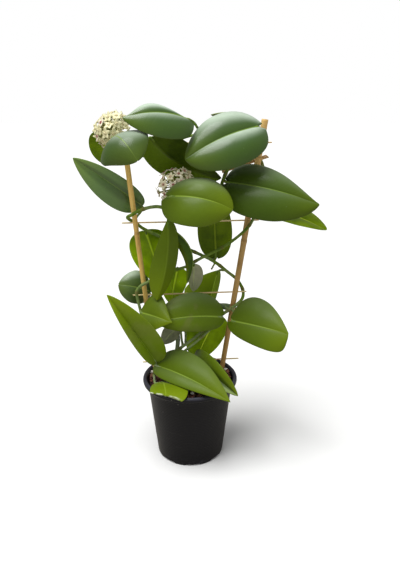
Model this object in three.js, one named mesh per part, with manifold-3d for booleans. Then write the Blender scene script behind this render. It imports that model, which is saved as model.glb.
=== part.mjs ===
// A potted wax plant (hoya) trained up a bamboo ladder: pot, soil, trellis, vine stems, leaves and two flower umbels.
// Millimetres, +Z up. The origin is the middle of the pot's underside, and the plant is looked at from -Y.
import * as THREE from "three";
import { mergeVertices } from "three/addons/utils/BufferGeometryUtils.js";
import Module from "manifold-3d";

const wasm = await Module();
wasm.setup();

// ---- Driving dimensions ----
const GAP = 0.3; // clearance between pieces that touch

const POT = {
  height: 106.5,
  rimRadius: 60,
  bodyTopRadius: 53.7, // just under the rim
  baseRadius: 42.6,
  rimDepth: 8.5,
  wall: 1.5,
  floor: 2.2,
  sides: 44,
  notches: 8, // drainage notches round the foot
  notchHeight: 2.5,
  notchDegrees: 26,
};

const SOIL = { top: 101, mound: 2, chip: 0.9, sides: 36, rings: 6 };

// The two canes lean apart: [x, y, z] of the foot in the soil and of the cut top.
const CANES = {
  cane_left: { foot: [-43, 18, 78], top: [-74, 13.5, 402], radius: [2.9, 3.2] },
  cane_right: { foot: [38.3, 24, 78], top: [88, 34, 418], radius: [3.3, 4] },
};

// Skewers through drilled holes in both canes: the height of each, and how far its ends reach past the canes.
const RUNGS = {
  rung_1: { height: 392.5, past: [13, 13] },
  rung_2: { height: 301, past: [16, 14] },
  rung_3: { height: 209.5, past: [15.5, 14.5] },
  rung_4: { height: 116.5, past: [15.5, 20] },
};
const RUNG_RADIUS = 0.95;

const BRACE = { left: [39, 36, 359], right: [95, 40, 377], radius: 2.4 };

// Vine stems: each is a smooth curve through hand-chosen points. from names the vine that one branches from.
const VINES = {
  vine_left: {
    radius: 1.8,
    points: [
      [-45, 1, 80], [-47, 2, 100], [-45, 3, 125], [-51, 6, 146], [-58, 7, 168], [-61, 7, 190],
      [-64, 7, 206], [-65, 7, 217], [-60, 7, 224], [-48, 9, 230], [-33, 14, 236], [-18, 19, 241],
      [-4, 21, 245], [3, 22, 249], [19, 22, 258], [37, 22, 267], [52, 22, 277], [65, 22, 288],
      [73, 22, 297], [79, 24, 308], [87, 30, 322], [91, 38, 338], [92, 46, 354], [87, 50, 370],
      [79, 49, 386], [74, 46, 400],
    ],
  },
  vine_right: {
    radius: 2,
    points: [
      [-25, 11, 80], [-24, 11, 108], [-20, 8, 128], [-12, 4, 142], [0, 2, 152], [13, 5, 162],
      [32, 13, 177], [50, 21, 188], [60, 22, 195], [67, 28, 201], [68, 36, 209], [61, 41, 221],
      [48, 38, 233], [30, 34, 248], [0, 30, 264], [-29, 28, 278], [-57, 26, 292], [-65, 24, 299],
      [-72, 20, 304], [-73, 13, 308], [-67, 7, 312], [-58, 6, 317], [-45, 6, 321], [-33, 2, 322],
      [-18, 6, 315], [0, 12, 314], [20, 15, 320], [35, 14, 336], [39, 13, 350], [44, 14, 362],
      [56, 18, 380], [62, 20, 394], [54, 20, 403], [34, 18, 406], [12, 16, 407],
    ],
  },
  vine_twin: {
    radius: 1.7,
    points: [
      [-21, 5, 80], [-20, 5, 108], [-16, 2, 127], [-8, -1, 139], [3, -2, 149], [15, 1, 159],
      [33, 10, 173], [42, 14, 181],
    ],
  },
  vine_top: {
    radius: 1.5,
    from: "vine_left",
    points: [
      [77, 47, 393], [66, 46, 400], [50, 47, 404], [22, 50, 403], [-6, 52, 397], [-28, 50, 387], [-40, 46, 379],
      [-49, 36, 376], [-56, 21, 379], [-62, 8, 384], [-68, 0, 387], [-73, -8, 388],
    ],
  },
};

// The stub of an old flower stalk, hanging from the vine behind the middle.
const STUB = { vine: "vine_right", to: [27, 31, 238], radius: 1.1 };

// Leaves. base and tip are the ends of the midrib, and face is the way the upper side looks. arch bows the midrib
// towards the face (share of its length), and bend bows it to its right (mm). Left and right are as seen on the
// upper side with the tip up: width is each half's, fold lifts it at the midrib, and curl turns it down again by its
// edge (degrees). lobe draws the base back beside the stalk (mm), and taper is the outline's exponent at the tip.
// shoulder is its exponent at the base, where that isn't the usual one. on is the vine that bears the leaf.
const LEAVES = {
  leaf_crown_right: {
    base: [77, 12, 410], tip: [-3, -18, 377], face: [-10, -80, 55], width: [39, 37],
    arch: 0.1, bend: 0, fold: [25, 25], curl: [75, 70], lobe: [11, 11], taper: [0.5, 0.7], on: "vine_right",
  },
  leaf_crown_back: {
    base: [82, 49, 408], tip: [26, 46, 423], face: [20, 30, 100], width: [17, 24],
    arch: 0.12, bend: 0, fold: [10, 10], curl: [40, 40], lobe: [6, 6], taper: [0.78, 0.78], on: "vine_left",
  },
  leaf_right_big: {
    base: [46, 8, 349], tip: [147, -12, 327], face: [10, -75, 60], width: [37, 39],
    arch: 0.06, bend: 0, fold: [25, 15], curl: [70, 60], lobe: [6, 10], taper: [1.15, 0.62], on: "vine_right",
  },
  leaf_right_under: {
    base: [92, 46, 313], tip: [171, 40, 287], face: [0, 60, 80], width: [24, 24],
    arch: 0.06, bend: 0, fold: [10, 10], curl: [20, 20], lobe: [6, 6], taper: [0.7, 0.7], on: "vine_left",
  },
  leaf_front_middle: {
    base: [-18, -26, 338], tip: [48, -34, 325], face: [-5, -80, 60], width: [33, 33],
    arch: 0.15, bend: 0, fold: [20, 10], curl: [70, 50], lobe: [11, 14], taper: [0.4, 0.6], on: "vine_right",
  },
  leaf_crown_left: {
    base: [1, -6, 418], tip: [-66, -38, 420], face: [0, -60, 80], width: [30, 22],
    arch: 0.1, bend: 0, fold: [0, 35], curl: [55, 90], lobe: [7, 0], taper: [0.6, 2], shoulder: [0.42, 2.4], on: "vine_right",
  },
  leaf_left_upper: {
    base: [-80, -24, 399], tip: [-50, -62, 379], face: [-25, -45, 90], width: [31, 34],
    arch: 0.25, bend: 0, fold: [4, -5], curl: [40, 60], lobe: [7, 15], taper: [0.5, 0.5], on: "vine_top",
    via: [-74, -17, 385],
  },
  leaf_left_back: {
    base: [-100, 38, 402], tip: [-102, 44, 367], face: [10, 90, 20], width: [20, 20],
    arch: 0.1, bend: 0, fold: [10, 10], curl: [20, 20], lobe: [4, 4], taper: [0.6, 0.6], on: "vine_top",
    via: [-86, 32, 389],
  },
  leaf_left_big: {
    base: [-59, 32, 320], tip: [-134, 20, 376], face: [-30, -80, 50], width: [24, 15],
    arch: 0.06, bend: 0, fold: [5, 40], curl: [40, 20], lobe: [3, 3], taper: [0.78, 0.78], on: "vine_right",
  },
  leaf_left_small: {
    base: [-52, 36, 207], tip: [-89, 22, 221], face: [-30, -80, 50], width: [22, 26],
    arch: 0.2, bend: 0, fold: [10, 10], curl: [60, 60], lobe: [6, 6], taper: [0.45, 0.45], on: "vine_left",
    via: [-44, 30, 222],
  },
  leaf_left_hanging: {
    base: [-54, 33, 286], tip: [-36, 50, 208], face: [0, 100, 15], width: [28, 28],
    arch: 0.05, bend: 0, fold: [10, 10], curl: [20, 20], lobe: [3, 3], taper: [0.78, 0.78], on: "vine_right",
  },
  leaf_front_long: {
    base: [-24, -4, 306], tip: [-39, -8, 211], face: [-10, -90, 30], width: [19, 21],
    arch: 0.05, bend: -6, fold: [-60, -20], curl: [0, 0], lobe: [3, 3], taper: [0.6, 0.5], shoulder: [0.42, 0.85], on: "vine_right",
  },
  leaf_middle_curled: {
    base: [-20, 10, 294], tip: [-3, 6, 228], face: [-95, -20, 0], width: [8, 13],
    arch: -0.22, bend: 0, fold: [75, 70], curl: [0, 10], lobe: [2, 2], taper: [0.78, 0.78], on: "vine_right",
  },
  leaf_middle_grey: {
    base: [5, 38, 242], tip: [4, 42, 205], face: [20, 100, 0], width: [9, 12],
    arch: 0.05, bend: 0, fold: [10, 10], curl: [10, 10], lobe: [2, 2], taper: [0.7, 0.7], on: "vine_left",
  },
  leaf_middle_back: {
    base: [-16, 32, 238], tip: [-25, 36, 190], face: [-20, 100, 10], width: [17, 17],
    arch: 0.05, bend: 0, fold: [10, 10], curl: [10, 10], lobe: [3, 3], taper: [0.7, 0.7], on: "vine_left",
  },
  leaf_middle_dark: {
    base: [33, 42, 253], tip: [29, 42, 338], face: [0, 100, 0], width: [22, 22],
    arch: 0.05, bend: 0, fold: [10, 10], curl: [20, 20], lobe: [4, 4], taper: [0.7, 0.7], on: "vine_right",
  },
  leaf_middle_low: {
    base: [36, 47, 229], tip: [22, 52, 165], face: [-30, -90, 30], width: [16, 42],
    arch: 0.05, bend: 0, fold: [50, 0], curl: [0, 20], lobe: [4, 4], taper: [0.78, 0.5], shoulder: [0.42, 1], on: "vine_right",
  },
  leaf_centre_low: {
    base: [39, 5, 184], tip: [-41, -8, 183], face: [10, -70, 70], width: [20, 34],
    arch: 0.1, bend: 0, fold: [0, 25], curl: [60, 50], lobe: [6, 6], taper: [0.6, 0.6], on: "vine_twin",
  },
  leaf_left_middle: {
    base: [-59, -1, 192], tip: [-20, -30, 191], face: [-10, -80, 55], width: [30, 24],
    arch: 0.08, bend: 0, fold: [15, 15], curl: [40, 40], lobe: [4, 4], taper: [1.2, 1.1], on: "vine_left",
  },
  leaf_left_low: {
    base: [-43, -12, 132], tip: [-94, -34, 227], face: [20, -85, 40], width: [14, 25],
    arch: 0.05, bend: 0, fold: [45, 45], curl: [20, 20], lobe: [3, 3], taper: [0.78, 0.78], on: "vine_left",
  },
  leaf_front_low: {
    base: [-41, -10, 124], tip: [48, -66, 106], face: [10, -60, 80], width: [32, 15],
    arch: 0.08, bend: 0, fold: [35, 12], curl: [50, 40], lobe: [5, 5], taper: [0.95, 0.95], on: "vine_left",
  },
  leaf_front_right: {
    base: [6, 12, 119], tip: [58, -50, 105], face: [-40, -60, 75], width: [22, 18],
    arch: 0.16, bend: 0, fold: [50, 50], curl: [20, 20], lobe: [3, 3], taper: [0.78, 0.78], on: "vine_right",
  },
  leaf_rim_torn: {
    base: [-33, -25, 109.5], tip: [-25, -72, 106.5], face: [4, -25, 90], width: [27, 18],
    arch: 0.14, bend: 0, fold: [0, 0], curl: [8, 8], lobe: [0, 0], taper: [0.3, 0.3], on: "vine_left",
    via: [-42, -22, 106],
  },
  leaf_right_low: {
    base: [53, 2, 180], tip: [117, -34, 178], face: [-10, -82, 55], width: [38, 26],
    arch: 0.06, bend: 0, fold: [10, 10], curl: [40, 40], lobe: [5, 7], taper: [0.9, 0.14], on: "vine_right",
    via: [56, 12, 186],
  },
  leaf_right_behind: {
    base: [34, 42, 168], tip: [6, 34, 107], face: [-10, 95, 20], width: [31, 24],
    arch: 0.05, bend: 0, fold: [10, 10], curl: [20, 20], lobe: [6, 6], taper: [0.78, 0.78], on: "vine_right",
  },
  leaf_back_node: {
    base: [50, 44, 180], tip: [33, 84, 169], face: [10, 30, 95], width: [16, 16],
    arch: 0.1, bend: 0, fold: [15, 15], curl: [30, 30], lobe: [4, 4], taper: [0.78, 0.78], on: "vine_right",
    via: [46, 34, 186],
  },
  leaf_back_grey: {
    base: [-18, 24, 161], tip: [-36, 14, 143], face: [0, 100, 20], width: [12, 12],
    arch: 0.05, bend: 0, fold: [10, 10], curl: [10, 10], lobe: [2, 2], taper: [0.78, 0.78], on: "vine_right",
  },
  leaf_back_narrow: {
    base: [-20, 40, 158], tip: [-21, 38, 119], face: [100, 20, 20], width: [14, 14],
    arch: 0.05, bend: 0, fold: [15, 15], curl: [10, 10], lobe: [3, 3], taper: [0.7, 0.7], on: "vine_right",
    via: [-8, 30, 158],
  },
  leaf_crown_under: {
    base: [-42, 4, 399], tip: [38, 26, 352], face: [20, 85, 50], width: [27, 30],
    arch: 0.06, bend: -15, fold: [10, 10], curl: [30, 20], lobe: [1, 1], taper: [0.78, 0.78], on: "vine_top",
    via: [-55, 4, 391],
  },
  leaf_crown_small: {
    base: [22, 5, 403], tip: [6, -1, 397], face: [-10, -40, 90], width: [10, 10],
    arch: 0.08, bend: 0, fold: [15, 15], curl: [40, 40], lobe: [3, 3], taper: [0.7, 0.7], on: "vine_right",
  },
};

const BLADE = {
  middle: 1.7, // thickness along the midrib
  edge: 0.9, // thickness at the margin
  shoulder: 0.42, // outline exponent at the base
  rows: [0.03, 0.13, 0.28, 0.46, 0.66, 0.86],
  columns: 3, // a side
};
const PETIOLE = { radius: 1.6, sides: 5, steps: 3 };

// Flower heads: star florets on thin stalks round a small knob.
const UMBELS = {
  umbel_left: { centre: [-85, 8, 406], radius: 20, away: [-60, -30, 60], florets: 24, on: "vine_top" },
  umbel_middle: { centre: [-14, 14, 342], radius: 23, away: [-80, -30, 40], florets: 26, on: "vine_right" },
};
const FLORET = { radius: 6.5, waist: 2.6, thickness: 1, cup: 1.6, stalk: 0.7, knob: 4, crown: 1.6 };

const COLOURS = {
  pot: "#26252b", soil: "#4a3226", caneLeft: "#b6945a", caneRight: "#a08d6a", rung: "#c8a775",
  vine: "#5e7423", green: "#55792c", floret: "#ece7bc",
};

// ---- Solids and meshes ----
const vec = (a) => new THREE.Vector3(...a);

function solidOf(geometry) {
  const bare = new THREE.BufferGeometry();
  bare.setAttribute("position", geometry.getAttribute("position"));
  if (geometry.index) bare.setIndex(geometry.index);
  const merged = mergeVertices(bare, 1e-4);
  return new wasm.Manifold(
    new wasm.Mesh({
      numProp: 3,
      vertProperties: merged.attributes.position.array,
      triVerts: new Uint32Array(merged.index.array),
    }),
  );
}

function geometryOf(solid) {
  const mesh = solid.getMesh();
  const positions = new Float32Array(mesh.numVert * 3);
  for (let i = 0; i < mesh.numVert; i++)
    positions.set(mesh.vertProperties.subarray(i * mesh.numProp, i * mesh.numProp + 3), i * 3);
  const geometry = new THREE.BufferGeometry();
  geometry.setAttribute("position", new THREE.BufferAttribute(positions, 3));
  geometry.setIndex(new THREE.BufferAttribute(new Uint32Array(mesh.triVerts), 1));
  geometry.computeVertexNormals();
  return geometry;
}

const join = (solids) => solids.reduce((all, next) => all.add(next));
const cut = (solid, tools) => tools.reduce((left, tool) => left.subtract(tool), solid);

const group = new THREE.Group();

function addPiece(name, solid, colour, roughness) {
  const material = new THREE.MeshStandardMaterial({ color: colour, roughness, metalness: 0 });
  const mesh = new THREE.Mesh(geometryOf(solid), material);
  mesh.name = name;
  group.add(mesh);
}

function polygon(sides, radius) {
  const corners = [];
  for (let i = 0; i < sides; i++) {
    const angle = (i / sides) * 2 * Math.PI;
    corners.push(new THREE.Vector2(radius * Math.cos(angle), radius * Math.sin(angle)));
  }
  return new THREE.Shape(corners);
}

function tube(curve, radius, sides, steps) {
  return solidOf(
    new THREE.ExtrudeGeometry(polygon(sides, radius), { steps, extrudePath: curve, bevelEnabled: false }),
  );
}

// A straight round bar from one point to another.
function bar(from, to, fromRadius, toRadius, sides) {
  const axis = vec(to).sub(vec(from));
  const geometry = new THREE.CylinderGeometry(toRadius, fromRadius, axis.length(), sides);
  geometry.translate(0, axis.length() / 2, 0);
  const turn = new THREE.Quaternion().setFromUnitVectors(new THREE.Vector3(0, 1, 0), axis.normalize());
  geometry.applyQuaternion(turn);
  geometry.translate(...from);
  return solidOf(geometry);
}

// ---- Pot and soil ----
function bodyRadius(z) {
  return POT.baseRadius + ((POT.bodyTopRadius - POT.baseRadius) * z) / (POT.height - POT.rimDepth);
}

function pot() {
  const lip = POT.height - POT.rimDepth;
  const profile = [
    [0, 0], [POT.baseRadius - 1.2, 0], [bodyRadius(1.2), 1.2], [POT.bodyTopRadius, lip],
    [POT.rimRadius - 2.4, lip + 1], [POT.rimRadius - 0.4, lip + 2.8], [POT.rimRadius, lip + 5],
    [POT.rimRadius - 0.6, POT.height - 0.7], [POT.rimRadius - 1.8, POT.height],
    [POT.rimRadius - 4, POT.height], [POT.rimRadius - 4.8, POT.height - 1],
    [bodyRadius(lip) - POT.wall, lip - 1], [bodyRadius(POT.floor) - POT.wall, POT.floor], [0, POT.floor],
  ];
  const shell = solidOf(
    new THREE.LatheGeometry(profile.map(([r, z]) => new THREE.Vector2(r, z)), POT.sides).rotateX(Math.PI / 2),
  );
  const notches = [];
  const width = 2 * POT.baseRadius * Math.sin(THREE.MathUtils.degToRad(POT.notchDegrees / 2));
  for (let i = 0; i < POT.notches; i++) {
    const box = new THREE.BoxGeometry(10, width, 2 * POT.notchHeight);
    box.translate(POT.baseRadius + 1.2, 0, 0);
    box.rotateZ(((i + 0.11) / POT.notches) * 2 * Math.PI);
    notches.push(solidOf(box));
  }
  return cut(shell, notches);
}

// Bark chips: the surface rises and falls by a fixed rule of the place.
function chipHeight(x, y) {
  const r = Math.hypot(x, y) / POT.bodyTopRadius;
  const bumps = Math.sin(x * 0.55 + y * 0.21) * Math.cos(y * 0.47 - x * 0.18) + 0.5 * Math.sin(x * 1.3 - y * 0.9);
  return SOIL.top + SOIL.mound * (1 - r * r) + SOIL.chip * bumps;
}

function soil() {
  const bottom = POT.floor + GAP;
  const side = (z) => bodyRadius(z) - POT.wall - GAP - 0.2;
  const positions = [];
  const index = [];
  const ring = (i, j) => 1 + (i - 1) * SOIL.sides + (j % SOIL.sides);
  positions.push(0, 0, chipHeight(0, 0));
  for (let i = 1; i <= SOIL.rings; i++)
    for (let j = 0; j < SOIL.sides; j++) {
      const r = (side(SOIL.top - 3) * i) / SOIL.rings;
      const angle = (j / SOIL.sides) * 2 * Math.PI;
      const x = r * Math.cos(angle);
      const y = r * Math.sin(angle);
      positions.push(x, y, i === SOIL.rings ? SOIL.top - 3 : chipHeight(x, y));
    }
  const foot = 1 + SOIL.rings * SOIL.sides;
  for (let j = 0; j < SOIL.sides; j++) {
    const angle = (j / SOIL.sides) * 2 * Math.PI;
    positions.push(side(bottom) * Math.cos(angle), side(bottom) * Math.sin(angle), bottom);
  }
  positions.push(0, 0, bottom);
  for (let j = 0; j < SOIL.sides; j++) {
    const next = (j + 1) % SOIL.sides;
    index.push(0, ring(1, j), ring(1, j + 1));
    for (let i = 1; i < SOIL.rings; i++) {
      index.push(ring(i, j), ring(i + 1, j), ring(i + 1, j + 1));
      index.push(ring(i, j), ring(i + 1, j + 1), ring(i, j + 1));
    }
    index.push(ring(SOIL.rings, j), foot + j, foot + next);
    index.push(ring(SOIL.rings, j), foot + next, ring(SOIL.rings, j + 1));
    index.push(foot + SOIL.sides, foot + next, foot + j);
  }
  const geometry = new THREE.BufferGeometry();
  geometry.setAttribute("position", new THREE.Float32BufferAttribute(positions, 3));
  geometry.setIndex(index);
  return solidOf(geometry);
}

// ---- Trellis ----
const caneSolid = ({ foot, top, radius }, grow) => bar(foot, top, radius[0] + grow, radius[1] + grow, 12);

function caneAt({ foot, top }, height) {
  return vec(foot).lerp(vec(top), (height - foot[2]) / (top[2] - foot[2]));
}

function rungSolid({ height, past }, grow) {
  const left = caneAt(CANES.cane_left, height);
  const right = caneAt(CANES.cane_right, height);
  const along = right.clone().sub(left).normalize();
  left.addScaledVector(along, -past[0]);
  right.addScaledVector(along, past[1]);
  return bar(left.toArray(), right.toArray(), RUNG_RADIUS + grow, RUNG_RADIUS + grow, 8);
}

// ---- Vines ----
const vineCurves = Object.fromEntries(
  Object.entries(VINES).map(([name, vine]) => [name, new THREE.CatmullRomCurve3(vine.points.map(vec), false, "centripetal")]),
);

function vineSolid(name, grow) {
  const { radius, points } = VINES[name];
  return tube(vineCurves[name], radius + grow, 6, Math.round(points.length * 1.5));
}

// The point on a vine's middle line nearest to a place, and the way from it to that place.
function nearestOn(name, place) {
  let best = { distance: Infinity };
  for (let i = 0; i <= 600; i++) {
    const point = vineCurves[name].getPoint(i / 600);
    const distance = point.distanceTo(place);
    if (distance < best.distance) best = { distance, point };
  }
  const outward = place.clone().sub(best.point).normalize();
  return { seat: best.point, outward };
}

// A thin stalk from inside the piece it bears to the middle of a vine, by way of a point where one is given. What it
// becomes part of is then cut clear of that vine.
function stalk(inside, start, backward, vine, radius, via) {
  const { seat, outward } = nearestOn(vine, via ? vec(via) : start);
  const reach = start.distanceTo(seat) * 0.4;
  const bow = via
    ? [start, vec(via), seat.clone().addScaledVector(outward, 5), seat]
    : new THREE.CubicBezierCurve3(
        start, start.clone().addScaledVector(backward, reach), seat.clone().addScaledVector(outward, reach), seat,
      ).getPoints(4);
  const curve = new THREE.CatmullRomCurve3([inside, ...bow], false, "centripetal");
  return tube(curve, radius, PETIOLE.sides, PETIOLE.steps);
}

// ---- Leaves ----
function leafFrame(leaf) {
  const base = vec(leaf.base);
  const chord = vec(leaf.tip).sub(base);
  const length = chord.length();
  const along = chord.normalize();
  const face = vec(leaf.face);
  face.addScaledVector(along, -face.dot(along)).normalize();
  const right = along.clone().cross(face);
  const midrib = (t) => {
    const bow = 4 * t * (1 - t);
    return base
      .clone()
      .addScaledVector(along, length * t)
      .addScaledVector(face, leaf.arch * length * bow)
      .addScaledVector(right, leaf.bend * bow);
  };
  const tangent = (t) => midrib(t + 0.005).sub(midrib(t - 0.005)).normalize();
  return { midrib, tangent, face };
}

// The share of the blade's full width at t, from 0 at the base to 0 at the tip.
function widthShare(leaf, t, side) {
  const taper = leaf.taper[side];
  const shoulder = leaf.shoulder ? leaf.shoulder[side] : BLADE.shoulder;
  const widest = shoulder / (shoulder + taper);
  return Math.max(0.05, (t / widest) ** shoulder * ((1 - t) / (1 - widest)) ** taper);
}

// How far the lobes beside the stalk are drawn back at t: most at the base, and nothing past the middle.
function lobeShare(t) {
  return Math.max(0, 1 - (t / 0.6) ** 2) ** 2;
}

// A point of the blade's middle surface: u runs from -1 at the left edge to 1 at the right edge.
function bladePoint(leaf, frame, t, u) {
  const along = frame.tangent(t);
  const up = frame.face.clone().addScaledVector(along, -frame.face.dot(along)).normalize();
  const right = along.clone().cross(up);
  const side = u < 0 ? 0 : 1;
  const share = Math.abs(u);
  const fold = THREE.MathUtils.degToRad(leaf.fold[side]);
  const curl = THREE.MathUtils.degToRad(leaf.curl[side]);
  const steps = 8;
  let out = 0;
  let rise = 0;
  for (let i = 0; i < steps; i++) {
    const angle = fold - (curl * share * (i + 0.5)) / steps;
    out += Math.cos(angle) / steps;
    rise += Math.sin(angle) / steps;
  }
  const reach = leaf.width[side] * widthShare(leaf, t, side) * share;
  const back = leaf.lobe[side] * share ** 1.6 * lobeShare(t);
  return frame
    .midrib(t)
    .addScaledVector(right, Math.sign(u) * out * reach)
    .addScaledVector(up, rise * reach)
    .addScaledVector(along, -back);
}

function bladeSolid(leaf, frame) {
  const positions = [];
  const index = [];
  const across = 2 * BLADE.columns + 1;
  const put = (point) => positions.push(point.x, point.y, point.z) / 3 - 1;
  const step = 0.01;
  const pair = (t, u) => {
    const point = bladePoint(leaf, frame, t, u);
    const inner = Math.abs(u) < 0.99 ? u : u - Math.sign(u) * step;
    const dt = bladePoint(leaf, frame, Math.min(t + step, 1), inner).sub(bladePoint(leaf, frame, Math.max(t - step, 0.001), inner));
    const du = bladePoint(leaf, frame, t, inner + step).sub(bladePoint(leaf, frame, t, inner - step));
    const normal = du.lengthSq() > 1e-6 ? dt.cross(du).normalize() : frame.face;
    const half = (BLADE.middle + (BLADE.edge - BLADE.middle) * u * u) / 2;
    return [put(point.clone().addScaledVector(normal, half)), put(point.clone().addScaledVector(normal, -half))];
  };
  const rows = BLADE.rows.map((t) =>
    Array.from({ length: across }, (_, j) => pair(t, (j - BLADE.columns) / BLADE.columns)),
  );
  const base = pair(0.001, 0);
  const tip = pair(0.999, 0);
  const face = (a, b, c) => index.push(a[0], b[0], c[0], a[1], c[1], b[1]);
  const wall = (a, b) => index.push(a[0], a[1], b[1], a[0], b[1], b[0]);
  for (let j = 0; j + 1 < across; j++) {
    face(base, rows[0][j], rows[0][j + 1]);
    face(tip, rows.at(-1)[j + 1], rows.at(-1)[j]);
    for (let i = 0; i + 1 < rows.length; i++) {
      face(rows[i][j], rows[i + 1][j], rows[i + 1][j + 1]);
      face(rows[i][j], rows[i + 1][j + 1], rows[i][j + 1]);
    }
  }
  const left = [base, ...rows.map((row) => row[0]), tip];
  const right = [base, ...rows.map((row) => row[across - 1]), tip];
  for (let i = 0; i + 1 < left.length; i++) {
    wall(left[i], left[i + 1]);
    wall(right[i + 1], right[i]);
  }
  const geometry = new THREE.BufferGeometry();
  geometry.setAttribute("position", new THREE.Float32BufferAttribute(positions, 3));
  geometry.setIndex(index);
  return solidOf(geometry);
}

function leafSolid(leaf) {
  const frame = leafFrame(leaf);
  const start = frame.midrib(0);
  const backward = frame.tangent(0.01).negate();
  const bearing = stalk(frame.midrib(0.09), start, backward, leaf.on, PETIOLE.radius, leaf.via);
  return cut(join([bladeSolid(leaf, frame), bearing]), [vineSolid(leaf.on, GAP)]);
}

// ---- Umbels ----
// Directions spread evenly over a ball, leaving out a cone about the stalk.
function floretDirections(count, away) {
  const directions = [];
  const turn = Math.PI * (3 - Math.sqrt(5));
  const lowest = -0.62;
  for (let i = 0; i < count; i++) {
    const z = 1 - ((1 - lowest) * (i + 0.5)) / count;
    const r = Math.sqrt(1 - z * z);
    directions.push(new THREE.Vector3(r * Math.cos(turn * i), r * Math.sin(turn * i), z));
  }
  const aim = new THREE.Quaternion().setFromUnitVectors(new THREE.Vector3(0, 0, 1), vec(away).normalize());
  return directions.map((d) => d.applyQuaternion(aim));
}

// One five-pointed star, a little cupped, with a raised crown, looking along +Z.
function floretSolid() {
  const star = new THREE.Shape();
  for (let i = 0; i < 10; i++) {
    const r = i % 2 ? FLORET.waist : FLORET.radius;
    const angle = (i / 10) * 2 * Math.PI;
    const corner = [r * Math.cos(angle), r * Math.sin(angle)];
    if (i) star.lineTo(...corner);
    else star.moveTo(...corner);
  }
  const blade = new THREE.ExtrudeGeometry(star, { depth: FLORET.thickness, bevelEnabled: false });
  const crown = new THREE.CylinderGeometry(0.4, FLORET.crown, 1.4, 4).rotateX(Math.PI / 2);
  crown.translate(0, 0, FLORET.thickness + 0.5);
  return solidOf(blade).add(solidOf(crown));
}

function umbelSolid({ centre, radius, away, florets, on }) {
  const middle = vec(centre);
  const star = geometryOf(floretSolid());
  const pieces = [solidOf(new THREE.IcosahedronGeometry(FLORET.knob).translate(...centre))];
  floretDirections(florets, away).forEach((direction, i) => {
    const at = middle.clone().addScaledVector(direction, radius - FLORET.thickness);
    const turn = new THREE.Quaternion()
      .setFromUnitVectors(new THREE.Vector3(0, 0, 1), direction)
      .multiply(new THREE.Quaternion().setFromAxisAngle(new THREE.Vector3(0, 0, 1), i));
    pieces.push(solidOf(star.clone().applyQuaternion(turn).translate(at.x, at.y, at.z)));
    const outer = at.clone().addScaledVector(direction, FLORET.thickness / 2);
    pieces.push(bar(centre, outer.toArray(), FLORET.stalk, FLORET.stalk, 3));
  });
  const backward = vec(away).normalize().negate();
  const start = middle.clone().addScaledVector(backward, FLORET.knob);
  pieces.push(stalk(middle, start, backward, on, 1.3));
  return cut(join(pieces), [vineSolid(on, GAP)]);
}

// ---- The plant ----
const rungHoles = Object.values(RUNGS).map((rung) => rungSolid(rung, GAP));
const soilHoles = [
  ...Object.values(CANES).map((cane) => caneSolid(cane, GAP)),
  ...["vine_left", "vine_right", "vine_twin"].map((name) => vineSolid(name, GAP)),
];

addPiece("pot", pot(), COLOURS.pot, 0.55);
addPiece("soil", cut(soil(), soilHoles), COLOURS.soil, 1);
for (const [name, cane] of Object.entries(CANES)) {
  const colour = name === "cane_left" ? COLOURS.caneLeft : COLOURS.caneRight;
  addPiece(name, cut(caneSolid(cane, 0), rungHoles), colour, 0.6);
}
for (const [name, rung] of Object.entries(RUNGS)) addPiece(name, rungSolid(rung, 0), COLOURS.rung, 0.7);
addPiece("brace", bar(BRACE.left, BRACE.right, BRACE.radius, BRACE.radius, 8), COLOURS.caneRight, 0.6);
for (const [name, { from }] of Object.entries(VINES)) {
  const stem = vineSolid(name, 0);
  addPiece(name, from ? cut(stem, [vineSolid(from, GAP)]) : stem, COLOURS.vine, 0.6);
}

const stubSeat = nearestOn(STUB.vine, vec(STUB.to)).seat;
const stub = bar(STUB.to, stubSeat.toArray(), STUB.radius * 1.4, STUB.radius, 6);
addPiece("flower_stub", cut(stub, [vineSolid(STUB.vine, GAP)]), COLOURS.vine, 0.7);

for (const [name, leaf] of Object.entries(LEAVES)) addPiece(name, leafSolid(leaf), COLOURS.green, 0.5);
for (const [name, umbel] of Object.entries(UMBELS)) addPiece(name, umbelSolid(umbel), COLOURS.floret, 0.7);

export default group;
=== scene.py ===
# a young potted wax plant on a small bamboo ladder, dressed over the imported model; tables are in millimetres
import math
import random

import bmesh
import bpy
from mathutils import Matrix, Vector
from mathutils.noise import noise


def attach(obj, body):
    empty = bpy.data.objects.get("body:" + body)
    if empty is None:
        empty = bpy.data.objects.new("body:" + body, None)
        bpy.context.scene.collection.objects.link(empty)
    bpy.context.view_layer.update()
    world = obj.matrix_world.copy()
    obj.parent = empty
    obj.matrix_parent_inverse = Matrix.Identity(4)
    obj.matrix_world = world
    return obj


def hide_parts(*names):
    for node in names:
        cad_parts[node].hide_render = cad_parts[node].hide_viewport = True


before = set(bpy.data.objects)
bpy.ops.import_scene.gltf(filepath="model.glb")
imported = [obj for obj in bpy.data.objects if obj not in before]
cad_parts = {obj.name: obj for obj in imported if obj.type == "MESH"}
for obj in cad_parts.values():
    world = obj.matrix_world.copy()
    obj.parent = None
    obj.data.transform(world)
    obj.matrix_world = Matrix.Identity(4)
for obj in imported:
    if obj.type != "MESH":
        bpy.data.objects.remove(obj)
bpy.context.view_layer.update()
mm = 0.001

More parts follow.
